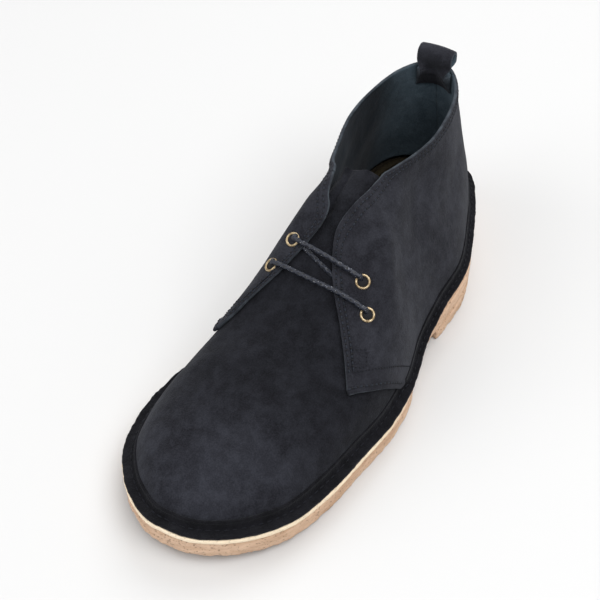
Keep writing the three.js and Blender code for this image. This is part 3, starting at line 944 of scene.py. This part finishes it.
def turned_edge():
    side, station = round_the_foot(BAND_ROWS)
    wall = wall_offset(station)
    place = np.linspace(0, len(SECTION["out"]) - 1, 40)
    out, up = column(SECTION["out"], place), column(SECTION["up"], place)
    # The band gets narrower where the thicker wall stands on it.
    narrowed = out * (FLANGE - wall[:, None]) / BAND_WIDTH
    reach = wall[:, None] + np.where(out[None] > 0, narrowed, out)
    base = feather(side[:, None], station[:, None], reach)[0]
    height = sole_top(base[..., 0]) + up
    points = np.concatenate([base, height[..., None]], -1)
    uneven = rough(points, 0.16, 0.35, 3.0) + rough(points, 0.5, 0.22, 9.0)
    edge = smooth(4.0, 6.5, out)[None] * (up > 0.4)
    points[..., 2] += uneven * smooth(1.5, 3.0, out)[None] * (up > 1)
    points[..., :2] = feather(side[:, None], station[:, None], reach + uneven * edge)[0]
    faces = section_faces(*points.shape[:2], True)
    cut = np.tile(((out > RIM_OUT) & (up > RIM_UP)).astype(float) * RIM_CUT, BAND_ROWS)
    marks = {"cut": cut, "inside": np.zeros(len(cut))}
    return facing_out(make_object("turned_edge", points.reshape(-1, 3), faces, EDGE_SUEDE, marks))


band = turned_edge()
print("band:", len(band.data.vertices), "points")

# %% [markdown]
# ## Midsole, crepe sole and heel lift
#
# The sole is cut from sheets: its plan is the feather line moved outwards, and its side is nearly
# upright. At the outer waist it is trimmed in under the leather, so that the band overhangs it. The
# crepe's side is not clean, because raw rubber tears as it is trimmed: it waves, and its lower edge
# is chewed. The rows of each layer are rings round the foot, from the middle of the top, out over
# the edge, down the side and in to the middle of the underside.


# %% Layers of the sole
ROUND_POINTS, BREAST_POINTS = 560, 80  # of a layer's outline, and of those along the heel's breast
SPINE_END = 24  # the middle line stops this far from the toe and the heel


def ring_layer(name, offset, top_at, low_at, material, wave, side_rows, corner=0.5, seed=0, stations=TIP):
    """A layer with the foot's outline. stations shorter than the foot end it with an upright face."""
    if stations == TIP:
        side, station = round_the_foot(ROUND_POINTS)
        base = feather(side, station, offset(side, station))[0]
        out = feather(side, station)[1]
    else:
        station, base, out = breast_outline(offset, stations)
    middle = spine(station, base)
    heights = np.linspace(0, 1, side_rows)
    rings = []
    for inward in (1.0, 0.75, 0.5, 0.25, 0.08):
        rings.append((mix(base, middle, inward), 0.0, 0.0, 1.0 - inward))
    for h in heights:
        pull = corner * (abs(2 * h - 1) ** 6)
        rings.append((base - out * pull, h, 1.0, 1.0))
    for inward in (0.08, 0.25, 0.5, 0.75, 1.0):
        rings.append((mix(base, middle, inward), 1.0, 0.0, 1.0 - inward))
    grid, inside_shade = [], []
    for flat, h, on_side, outward in rings:
        # Painted shade for the top rings in from the edge, inside the boot.
        inside_shade.append(np.full(len(flat), float(h == 0 and outward < 0.95)))
        z = mix(top_at(flat[:, 0]), low_at(flat[:, 0]), h)
        points = np.concatenate([flat, z[:, None]], -1)
        if on_side:
            # Long waves, short ones, and torn pits between them.
            ripple = rough(points, 0.22, wave, seed) + rough(points, 0.7, wave * 0.7, seed + 5)
            ripple -= np.maximum(rough(points, 1.1, 1, seed + 11) - 0.38, 0) * wave * 3
            points[:, :2] += out * np.minimum(ripple, 0.25)[:, None]
            points[:, 2] += rough(points, 0.5, wave * 0.5, seed + 17) * (h > 0.9) * (points[:, 2] > 1)
        grid.append(points)
    grid = np.stack(grid, 0)
    faces = ring_faces(*grid.shape[:2])
    marks = {"inside_shade": np.concatenate(inside_shade)}
    return facing_out(make_object(name, grid.reshape(-1, 3), faces, material, marks))


def ring_faces(count, around):
    """The faces between rings of points, each ring closed on itself."""
    i, j = np.meshgrid(np.arange(count - 1), np.arange(around), indexing="ij")
    a, b = i * around + j, i * around + (j + 1) % around
    return np.stack([a, b, b + around, a + around], -1).reshape(-1, 4).tolist()


def spine(station, base):
    """The point in the middle of the foot, straight across from each point of its outline."""
    heel, toe = base[:, 0].min() + SPINE_END, base[:, 0].max() - SPINE_END
    x = np.clip(column(STATIONS["x"], station), heel, toe)
    station = np.interp(x, STATIONS["x"], np.arange(TIP + 1))
    y = (column(STATIONS["outer"], station) + column(STATIONS["inner"], station)) / 2
    return np.stack([x, y], -1)


def breast_outline(offset, stations):
    """The heel's outline: round the back, and straight across the breast."""
    t = np.linspace(-stations, stations, ROUND_POINTS - BREAST_POINTS)
    side = np.where(t >= 0, OUTER, INNER)
    curve, out = feather(side, np.abs(t), offset(side, np.abs(t)))
    share = np.linspace(0, 1, BREAST_POINTS + 2)[1:-1, None]
    straight = mix(curve[-1], curve[0], share)
    forward = np.tile([1.0, 0.0], (BREAST_POINTS, 1))
    station = np.concatenate([np.abs(t), np.full(BREAST_POINTS, float(stations))])
    return station, np.vstack([curve, straight]), np.vstack([out, forward])


# %% The three layers
def midsole_low(x):
    return sole_top(x) - MIDSOLE


def crepe_top(x):
    return midsole_low(x) - GAP


def crepe_low(x):
    return sole_top(x) - TREAD


def heel_top(x):
    return crepe_low(x) - GAP


def ground(x):
    return np.zeros_like(x)


WAIST_TUCK = 2.4  # how far the sole is trimmed in under the band, at the outer waist
WAIST_FROM, WAIST_TO = (4.9, 5.5), (6.4, 7.4)  # the stations where the tuck grows, and where it goes
FLUSH = -0.2  # the midsole's edge lies this far inside the crepe's at the heel


def sole_reach(side, station):
    """How far the crepe stands out from the feather line."""
    waist = smooth(*WAIST_FROM, station) * (1 - smooth(*WAIST_TO, station)) * (side > 0)
    return FLANGE + MIDSOLE_PROUD - OUTSOLE_SHY - WAIST_TUCK * waist


def midsole_reach(side, station):
    """The midsole shows as a line in front. At the heel it is flush with the crepe."""
    return sole_reach(side, station) + mix(FLUSH, MIDSOLE_PROUD, smooth(6.5, 9, station))


TORN = dict(material=CREPE, wave=0.55, corner=0.9)  # the crepe's side waves more than the midsole's
midsole = ring_layer("midsole_layer", midsole_reach, sole_top, midsole_low, CREAM, wave=0.18, side_rows=6)
crepe_sole = ring_layer("crepe_sole", sole_reach, crepe_top, crepe_low, side_rows=14, seed=21, **TORN)
crepe_heel = ring_layer(
    "crepe_heel", sole_reach, heel_top, ground, side_rows=12, seed=43, stations=BREAST_STATION, **TORN
)
print("sole layers:", midsole.name, crepe_sole.name, crepe_heel.name)

# %% [markdown]
# ## Insole
#
# The insole is a sheet of brown leather on the midsole, seen through the collar. A line is pressed
# into it a little way in from its edge, and its rim is paler.

# %% Insole
INSOLE_RINGS = rows(
    # share: of the way in to the middle. dip: of its top. pressed: how pale it is there.
    "share dip pressed",
    (0, -0.5, 0.7),
    (0.02, 0, 0.7),
    (0.06, 0, 0.4),
    (0.09, -0.1, 0.1),
    (0.115, -0.45, 0.9),
    (0.14, -0.1, 0.1),
    (0.2, 0, 0),
    (0.35, 0, 0),
    (0.6, 0, 0),
    (0.8, 0, 0),
    (1, 0, 0),
)


def insole_sheet():
    side, station = round_the_foot(420)
    edge = feather(side, station, -INSOLE_SHY)[0]
    middle = spine(station, edge)
    top = [(share, INSOLE + dip, pressed) for share, dip, pressed in zip(*INSOLE_RINGS.values())]
    underside = [(share, 0.0, 0.0) for share in (1.0, 0.5, 0.0)]
    grid, pale = [], []
    for share, height, pressed in [*top, *underside, top[0]]:
        flat = mix(edge, middle, share)
        z = sole_top(flat[:, 0]) + GAP + height
        grid.append(np.concatenate([flat, z[:, None]], -1))
        pale.append(np.full(len(flat), pressed))
    grid = np.stack(grid, 0)
    faces = ring_faces(*grid.shape[:2])
    marks = {"pressed": np.concatenate(pale)}
    return facing_out(make_object("insole_sheet", grid.reshape(-1, 3), faces, SOCK, marks))


insole = insole_sheet()
print("insole:", len(insole.data.vertices), "points")

# %% [markdown]
# ## Pull loop
#
# A strip of the same suede is folded double and sewn inside the collar, at the back seam. Seen
# from the side it is a pinched eye. Its two ends go down together and are held by a patch.

# %% Pull loop
LOOP = dict(width=19, strap=1.7, tail=0.83, edge=0.985, straight=6.5)
LOOP_LINE = rows("out up", (0.95, -3), (1.1, 1), (2.2, 3.6), (3.35, 6.3), (3.5, 9.2), (2.6, 12), (0, 13.2))
SINK = 0.85  # how far inside the last the loop's leather begins
LOOP_ROWS, LOOP_COLUMNS = 40, 25  # of points: along one half of the eye, and across the strap
PATCH_ROWS, PATCH_COLUMNS = 24, 31
PATCH_THIN, PATCH_SUNK = 0.5, 0.1  # thickness at the patch's lower end, and its depth in the quarter


def inside_collar(y, up, offset):
    """A place inside the back of the collar, y millimetres from the back seam."""
    station = THROAT / math.pi * np.arcsin(np.abs(y) / COLLAR["half_width"])
    return skin(np.where(y < 0, INNER, OUTER), station, up, offset)


def pull_loop():
    """The strap, folded into an eye that stands on the back of the collar."""
    back = -SINK - 4 * GAP
    centre_offset = back - LOOP["strap"]
    place = np.linspace(0, len(LOOP_LINE["out"]) - 1, LOOP_ROWS)
    out, up = column(LOOP_LINE["out"], place), column(LOOP_LINE["up"], place)
    eye = np.concatenate([np.stack([out, up], -1), np.stack([-out, up], -1)[-2::-1]])
    along = unit(np.gradient(eye, axis=0))
    across = np.stack([along[:, 1], -along[:, 0]], -1)
    y = np.linspace(-0.5, 0.5, LOOP_COLUMNS) * LOOP["width"]
    foot = inside_collar(y, LOOP["edge"], centre_offset)
    centre = inside_collar(np.zeros(1), LOOP["edge"], centre_offset)[0]

    def face(offset):
        """The strap's face, which lies round the collar below and is straight above."""
        line = eye + across * offset
        straight = smooth(0, LOOP["straight"], line[:, 1])[:, None]
        grid = np.empty((len(line), len(y), 3))
        grid[..., 0] = mix(foot[None, :, 0], centre[0], straight) + line[:, :1]
        grid[..., 1] = mix(foot[None, :, 1], COLLAR["y"] + y[None], straight)
        grid[..., 2] = foot[None, :, 2] + line[:, 1:]
        return grid

    outer, inner = face(LOOP["strap"] / 2), face(-LOOP["strap"] / 2)
    return facing_out(leather_sheet("pull_loop_strap", outer, inner, UPPER_SUEDE))


def loop_patch():
    """The strip's two ends, sewn down inside the heel."""
    y = np.linspace(-0.5, 0.5, PATCH_COLUMNS)[None] * LOOP["width"]
    up = np.linspace(LOOP["tail"], LOOP["edge"] + 0.004, PATCH_ROWS)[:, None]
    y, up = np.broadcast_arrays(y, up)
    thick = mix(PATCH_THIN, 4 * GAP + 2 * LOOP["strap"], smooth(LOOP["tail"], LOOP["edge"], up))
    near = inside_collar(y, up, -SINK - thick)
    far = inside_collar(y, up, -PATCH_SUNK)
    return facing_out(leather_sheet("pull_loop_patch", near, far, UPPER_SUEDE))


loop = pull_loop()
patch = loop_patch()
print("pull loop stands", round(float(loop.dimensions.z / MM), 1), "mm tall")

# %% [markdown]
# ## Eyelets
#
# Each eyelet is a small brass ring pressed through the quarter. It is turned on a lathe: a profile
# of the rim, its rounded shoulder and the barrel is spun round the hole's axis, which is the
# leather's own normal. A black disc in it is painted shade for the punched hole.

# %% Eyelets
EYELET_PROFILE = rows(
    "radius up",
    (2.55, -2.2),
    (2.6, 0.1),
    (2.72, 0.5),
    (2.98, 0.76),
    (3.32, 0.8),
    (3.65, 0.6),
    (3.82, 0.25),
    (3.78, 0.02),
    (2.85, -0.05),
    (2.8, -2.2),
)


def stand_on(side, station, up, offset):
    """A place on the leather, with its normal and two directions along it."""
    centre = skin(side, station, up, offset)
    normal = last_normal(np.asarray(side), np.asarray(station), np.asarray(up))
    first = unit(np.cross(normal, [0, 0, 1.0]))
    return centre, normal, first, np.cross(normal, first)


RIM_POINTS, TURNS = 46, 48  # of points: along the profile, and round the eyelet


def eyelet(name, side, station, up):
    relief = float(crease("quarters", side, np.asarray(station), np.asarray(up)))
    centre, normal, first, second = stand_on(side, station, up, LEATHER + relief)
    place = np.linspace(0, len(EYELET_PROFILE["radius"]) - 1, RIM_POINTS)
    radius, height = column(EYELET_PROFILE["radius"], place), column(EYELET_PROFILE["up"], place)
    turn = np.linspace(0, 2 * math.pi, TURNS, endpoint=False)[:, None, None]
    around = np.cos(turn) * first + np.sin(turn) * second
    points = centre + around * radius[None, :, None] + normal * height[None, :, None]
    faces = section_faces(*points.shape[:2], True)
    return facing_out(make_object(name, points.reshape(-1, 3), faces, BRASS))


HOLE_RADIUS, HOLE_DEPTH = 2.7, 0.1
HOLE_LIFT = 0.18  # the disc lies this far above the leather, inside the rim


def hole_shade_disc(name, side, station, up):
    """The black disc in an eyelet, painted shade where the leather is punched."""
    centre, normal, first, second = stand_on(side, station, up, LEATHER + HOLE_LIFT)
    turn = np.linspace(0, 2 * math.pi, 32, endpoint=False)[:, None]
    rim = centre + (np.cos(turn) * first + np.sin(turn) * second) * HOLE_RADIUS
    points = np.vstack([rim, rim - normal * HOLE_DEPTH])
    n = len(rim)
    faces = [list(range(n)), list(range(2 * n - 1, n - 1, -1))]
    faces += [[i, n + i, n + (i + 1) % n, (i + 1) % n] for i in range(n)]
    return facing_out(make_object(name, points, faces, HOLE_SHADE))


eyelets = {name: eyelet("brass_" + name, *place) for name, place in EYELETS.items()}
holes = {name: hole_shade_disc(name.replace("eyelet", "hole"), *place) for name, place in EYELETS.items()}
print(len(eyelets), "eyelets")

# %% [markdown]
# ## Lace
#
# One round waxed lace runs through all four eyelets. It starts inside at the upper outer eyelet,
# crosses to the upper inner one, goes down under the throat to the lower outer eyelet, crosses
# again and ends inside. A taut lace runs straight across the boot, so each crossing is the line
# where an upright plane through its two eyelets cuts the leather.


# %% Where the lace runs
CROSSING_STATIONS, HALVINGS = (THROAT + 0.2, 9.0), 24


def on_plane(start, end, side, up, offset):
    """The place at a height up the rib where the plane through start and end cuts the leather."""
    across = np.array([end[1] - start[1], start[0] - end[0]])
    low, high = CROSSING_STATIONS
    for _ in range(HALVINGS):
        half = (low + high) / 2
        point = skin(side, half, up, offset)
        if across @ (point[:2] - start[:2]) > 0:
            high = half
        else:
            low = half
    return skin(side, low, up, offset)


LACE_LIFT = LEATHER + LACE / 2 + 0.25
MOUTH = 0.017  # the lace leaves an eyelet's hole on the throat's side
LACE_START = -1.6  # the depth in the hole where a bar starts
OVER_RIM = 0.9  # the lace rises this much more where it passes over the eyelet's rim


def bar(inner, outer):
    """Out of one eyelet, over its rim, straight over the throat and into the other."""
    (_, in_at, in_up), (_, out_at, out_up) = EYELETS[inner], EYELETS[outer]
    start, end = skin(INNER, in_at, in_up, LACE_LIFT), skin(OUTER, out_at, out_up, LACE_LIFT)

    def leg(side, at, up):
        """From the hole up to the middle of the throat."""
        mouth = [
            skin(side, at, up, LACE_START),
            skin(side, at, up + MOUTH, LEATHER),
            skin(side, at, up + 1.6 * MOUTH, LACE_LIFT + 0.3),
        ]
        rise = [on_plane(start, end, side, mix(up, 1, t), LACE_LIFT + OVER_RIM - t) for t in (0.12, 0.24)]
        flat = [on_plane(start, end, side, mix(up, 1, t), LACE_LIFT + 0.2) for t in (0.5, 0.75)]
        return [*mouth, *rise, *flat]

    return [*leg(INNER, in_at, in_up), *reversed(leg(OUTER, out_at, out_up))]


def under_throat(inner, outer):
    """From the upper inner eyelet, inside, over the tongue and down to the lower outer one."""
    (_, in_at, in_up), (_, out_at, out_up) = EYELETS[inner], EYELETS[outer]
    height = LACE / 2 - TONGUE_UNDER + 0.1
    start, end = skin(INNER, in_at, in_up, height), skin(OUTER, out_at, out_up, height)
    inner_half = [on_plane(start, end, INNER, up, height) for up in (0.84, 0.91, 0.97)]
    outer_half = [on_plane(start, end, OUTER, up, height) for up in (0.97, 0.91, 0.84, 0.7)]
    return [*inner_half, *outer_half]


# %% The lace as one braided tube
def smooth_path(points, count):
    """A smooth curve through the points."""
    points = np.array(points)
    place = np.linspace(0, len(points) - 1, count)
    return np.stack([column(points[:, k], place) for k in range(3)], -1)


def run_length(line):
    """How far along the line each of its points is, in millimetres."""
    steps = np.linalg.norm(np.diff(line, axis=0), axis=-1)
    return np.concatenate([[0], np.cumsum(steps)])


def tube(name, path, radius, material, sides=14, per_turn=4.2):
    """A tube with round ends along a path, with a UV map that counts along it and round it."""
    along = unit(np.gradient(path, axis=0))
    normal = unit(np.cross(along[0], [0.3, 0.2, 1.0]))
    frames = []
    for direction in along:
        normal = unit(normal - direction * (normal @ direction))
        frames.append((normal, np.cross(direction, normal)))
    turn = np.linspace(0, 2 * math.pi, sides, endpoint=False)
    rings = [
        point + radius * (np.cos(turn)[:, None] * a + np.sin(turn)[:, None] * b)
        for point, (a, b) in zip(path, frames)
    ]
    count = len(rings)
    points = np.vstack([*rings, path[0] - along[0] * radius * 0.5, path[-1] + along[-1] * radius * 0.5])
    faces = ring_faces(count, sides)
    end = count * sides
    faces += [[end, (j + 1) % sides, j] for j in range(sides)]
    faces += [[end + 1, end - sides + j, end - sides + (j + 1) % sides] for j in range(sides)]
    piece = make_object(name, points, faces, material)
    gone = run_length(path)
    layer = piece.data.uv_layers.new(name="UVMap")
    for polygon in piece.data.polygons:
        columns = [v % sides if v < end else 0 for v in polygon.vertices]
        wraps = max(columns) == sides - 1 and min(columns) == 0
        for loop_index, v in zip(polygon.loop_indices, polygon.vertices):
            ring = min(v // sides, count - 1)
            j = v % sides
            share = 1.0 if wraps and j == 0 else j / sides
            layer.data[loop_index].uv = (gone[ring] / per_turn, share)
    return piece, float(gone[-1])


upper_bar = bar("eyelet_inner_upper", "eyelet_outer_upper")
lower_bar = bar("eyelet_inner_lower", "eyelet_outer_lower")
diagonal = under_throat("eyelet_inner_upper", "eyelet_outer_lower")
lace_points = [*reversed(upper_bar), *diagonal, *reversed(lower_bar)]
lace, lace_length = tube("waxed_lace", smooth_path(lace_points, 520), LACE / 2, BRAID)
print("the lace is", round(lace_length), "mm long inside and out")

# %% [markdown]
# ## Stitches
#
# Stitches repeat at an even pitch along a line, so Geometry Nodes lay them: the line becomes a
# curve, which is resampled to one point a stitch, and a short bead is set on each point, turned
# along the line. The tree has named inputs for the pitch, the length and the thickness of a
# stitch, and ends by making the beads real and giving them their thread. The same tree lays the
# needle's holes, as black beads of painted shade half a stitch further on. Two rows run round the
# collar and down the facings, one along each flap's lower edge, and a small box tacks each flap to
# the vamp.


# %% The stitching tree
def stitching_tree():
    tree = bpy.data.node_groups.new("stitching", "GeometryNodeTree")
    face = tree.interface
    face.new_socket("Geometry", in_out="INPUT", socket_type="NodeSocketGeometry")
    for name, value in (("Pitch", 0.003), ("Stitch Length", 0.0023), ("Thickness", 0.0004)):
        face.new_socket(name, in_out="INPUT", socket_type="NodeSocketFloat").default_value = value
    face.new_socket("Thread", in_out="INPUT", socket_type="NodeSocketMaterial")
    face.new_socket("Geometry", in_out="OUTPUT", socket_type="NodeSocketGeometry")

    def add(kind, **settings):
        node = tree.nodes.new(kind)
        for name, value in settings.items():
            setattr(node, name, value)
        return node

    def link(source, output, target, socket):
        tree.links.new(source.outputs[output], target.inputs[socket])

    given, result = add("NodeGroupInput"), add("NodeGroupOutput")
    curve, resample = add("GeometryNodeMeshToCurve"), add("GeometryNodeResampleCurve", mode="LENGTH")
    bead = add("GeometryNodeMeshUVSphere")
    bead.inputs["Segments"].default_value = 7
    bead.inputs["Rings"].default_value = 5
    bead.inputs["Radius"].default_value = 0.5
    tangent = add("GeometryNodeInputTangent")
    turn = add("FunctionNodeAlignRotationToVector", axis="X")
    size, wobble = add("ShaderNodeCombineXYZ"), add("FunctionNodeRandomValue", data_type="FLOAT_VECTOR")
    wobble.inputs["Min"].default_value = (0.86, 0.85, 0.85)
    wobble.inputs["Max"].default_value = (1.06, 1.15, 1.15)
    wobble.inputs["Seed"].default_value = 12
    scaled = add("ShaderNodeVectorMath", operation="MULTIPLY")
    place, real = add("GeometryNodeInstanceOnPoints"), add("GeometryNodeRealizeInstances")
    finish, shade = add("GeometryNodeSetMaterial"), add("GeometryNodeSetShadeSmooth")
    link(given, "Geometry", curve, "Mesh")
    link(curve, "Curve", resample, "Curve")
    link(given, "Pitch", resample, "Length")
    link(given, "Stitch Length", size, "X")
    link(given, "Thickness", size, "Y")
    link(given, "Thickness", size, "Z")
    link(size, "Vector", scaled, 0)
    link(wobble, "Value", scaled, 1)
    link(tangent, "Tangent", turn, "Vector")
    link(resample, "Curve", place, "Points")
    link(bead, "Mesh", place, "Instance")
    link(turn, "Rotation", place, "Rotation")
    link(scaled, "Vector", place, "Scale")
    link(place, "Instances", real, "Geometry")
    link(real, "Geometry", shade, "Geometry")
    link(shade, "Geometry", finish, "Geometry")
    link(given, "Thread", finish, "Material")
    link(finish, "Geometry", result, "Geometry")
    return tree


STITCHING = stitching_tree()


def stitch(name, lines, pitch, length, thickness, material):
    """Stitches along lines of points in the boot's millimetres, as one plain mesh."""
    values = {"Pitch": pitch, "Stitch Length": length, "Thickness": thickness}
    values = {name: size * MM for name, size in values.items()}
    values["Thread"] = material
    mesh = bpy.data.meshes.new(name)
    points = metres(np.vstack(lines))
    edges, start = [], 0
    for line in lines:
        edges += [(start + k, start + k + 1) for k in range(len(line) - 1)]
        start += len(line)
    mesh.from_pydata([tuple(point) for point in points], edges, [])
    piece = bpy.data.objects.new(name, mesh)
    bpy.context.collection.objects.link(piece)
    modifier = piece.modifiers.new("stitching", "NODES")
    modifier.node_group = STITCHING
    for item in STITCHING.interface.items_tree:
        if item.name in values:
            modifier[item.identifier] = values[item.name]
    ready = piece.evaluated_get(bpy.context.evaluated_depsgraph_get())
    stitched = bpy.data.meshes.new_from_object(ready)
    piece.modifiers.clear()
    piece.data = stitched
    return piece


print("the stitching tree has", len(STITCHING.nodes), "nodes")


# %% Lines to sew
LINE_POINTS = 400
LOWEST_STITCH = 0.05  # up the rib: below it the flap runs into the feather line


def drape(side, station, up, offset):
    """A line on the quarters, with their own creases."""
    return leather_skin("quarters", side, np.asarray(station, float), np.asarray(up, float), offset)


def beside(station, edge, inset):
    """The stations and heights of a line that runs beside an edge, inset millimetres below it."""
    along, rise = np.gradient(station) * STATION_LENGTH, np.gradient(edge) * RIB_LENGTH
    length = np.hypot(along, rise)
    at = station + inset * rise / length / STATION_LENGTH
    return at, edge - inset * along / length / RIB_LENGTH


def top_line(side, inset, start, stop):
    """A line that keeps its distance inside the quarter's upper edge."""
    station, top, low = flap_line(side, LINE_POINTS)
    at, up = beside(station, top, inset)
    keep = slice(int(start * len(at)), int(stop * len(at)))
    at, up = np.clip(at[keep], 0, None), up[keep]
    return drape(side, at, up, LEATHER + flap_lift(at, up, top[keep], low[keep]))


def low_line(side, inset):
    """A line inside the flap's lower edge, from its corner to the feather line."""
    station, top, low = flap_line(side, LINE_POINTS)
    keep = station > FLAP_START
    station, top, low = station[keep], top[keep], low[keep]
    at, up = beside(station, low, -inset)
    keep = up > LOWEST_STITCH
    return drape(side, at[keep], up[keep], LEATHER + flap_lift(at, up, top, low)[keep])


BOX = ((8.34, 0.545), (8.07, 0.466), (8.22, 0.402), (8.5, 0.482))  # where the flap is tacked down
SEAM = ((8.5, 0.452), (7.76, 0.271), (6.75, 0.03))  # a faint line from the box to the feather line


def straight_line(side, corners):
    """A line on the quarter through corners, each a station and a height."""
    place = np.linspace(0, len(corners) - 1, 60)
    at, up = [np.interp(place, np.arange(len(corners)), values) for values in zip(*corners)]
    return drape(side, at, up, LEATHER + 0.15)


def trimmed(line, pitch):
    """The line without half a stitch at each end, for the holes between the stitches."""
    gone = run_length(line)
    half = gone[-1] / max(int(gone[-1] / pitch), 1) / 2
    keep = np.linspace(half, gone[-1] - half, len(line))
    return np.stack([np.interp(keep, gone, line[:, k]) for k in range(3)], -1)


QUARTER_PITCH = 2.9
ROWS_IN, LOW_ROW_IN = (1.8, 4.6), 2.0  # from the upper and from the lower edge
ROW_SPAN = (0.004, 0.955)  # the share of the upper edge that the rows run along
edge_lines = [top_line(side, inset, *ROW_SPAN) for side in (OUTER, INNER) for inset in ROWS_IN]
edge_lines += [low_line(side, LOW_ROW_IN) for side in (OUTER, INNER)]
tack_lines = [straight_line(side, [*BOX, BOX[0]]) for side in (OUTER, INNER)]
tack_lines += [straight_line(side, SEAM) for side in (OUTER, INNER)]
quarter_stitches = stitch("quarter_stitches", edge_lines, QUARTER_PITCH, 2.1, 0.8, THREAD)
needle_lines = [trimmed(line, QUARTER_PITCH) for line in edge_lines]
# Black beads of painted shade for the needle holes.
needle_hole_shade = stitch("needle_hole_shade", needle_lines, QUARTER_PITCH, 1.0, 1.05, HOLE_SHADE)
tack_stitches = stitch("tack_stitches", tack_lines, 1.9, 1.3, 0.7, DARK_THREAD)
print("quarter stitches:", len(quarter_stitches.data.polygons), "faces")

# %% Sewing of the turned-out edge
GROOVE_OUT, GROOVE_UP = 1.9, 2.55  # from the wall, and above the midsole
side, station = round_the_foot(900)
groove = feather(side, station, wall_offset(station) + GROOVE_OUT)[0]
groove = np.concatenate([groove, (sole_top(groove[:, 0]) + GROOVE_UP)[:, None]], -1)
edge_stitches = stitch("edge_stitches", [np.vstack([groove, groove[:1]])], 4.0, 3.0, 0.65, DARK_THREAD)
print("edge stitches:", len(edge_stitches.data.vertices), "points")

# %% [markdown]
# ## The floor, and what each piece stands for
#
# Nothing on the boot moves, so every piece rides on the one body. A table lists the CAD solids that
# each piece stands for, which are hidden, and the name of a finish, which is not used.

# %% Floor
FLOOR_HALF = 3.0
corners = [(x * FLOOR_HALF, y * FLOOR_HALF, 0) for x, y in ((-1, -1), (1, -1), (1, 1), (-1, 1))]
floor_mesh = bpy.data.meshes.new("floor")
floor_mesh.from_pydata(corners, [], [(0, 1, 2, 3)])
pale = Paint("pale_floor").set(Base_Color=(0.62, 0.62, 0.62, 1), Roughness=0.9)
floor_mesh.materials.append(pale.material)
floor = bpy.data.objects.new("floor", floor_mesh)
bpy.context.collection.objects.link(floor)

# %% Bodies and nodes
stands_for = {
    outer_quarter: (["upper"], "suede"),
    inner_quarter: (["upper"], "suede"),
    vamp: (["upper", "tongue"], "suede"),
    band: (["upper"], "suede"),
    midsole: (["midsole"], "midsole_rubber"),
    crepe_sole: (["outsole"], "crepe"),
    crepe_heel: (["heel_lift"], "crepe"),
    insole: (["insole"], "sock"),
    loop: (["pull_loop"], "suede"),
    patch: (["pull_loop"], "suede"),
    lace: (["lace_bar_upper", "lace_bar_lower", "lace_diagonal"], "waxed_cord"),
    quarter_stitches: ([], "waxed_cord"),
    needle_hole_shade: ([], "suede"),
    tack_stitches: ([], "waxed_cord"),
    edge_stitches: ([], "waxed_cord"),
}
for name, piece in eyelets.items():
    stands_for[piece] = ([name], "brass")
for piece in holes.values():
    stands_for[piece] = ([], "suede")
for piece, (nodes, finish) in stands_for.items():
    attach(piece, "root")
    if nodes:
        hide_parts(*nodes)
print(len(stands_for), "pieces ride on the boot")
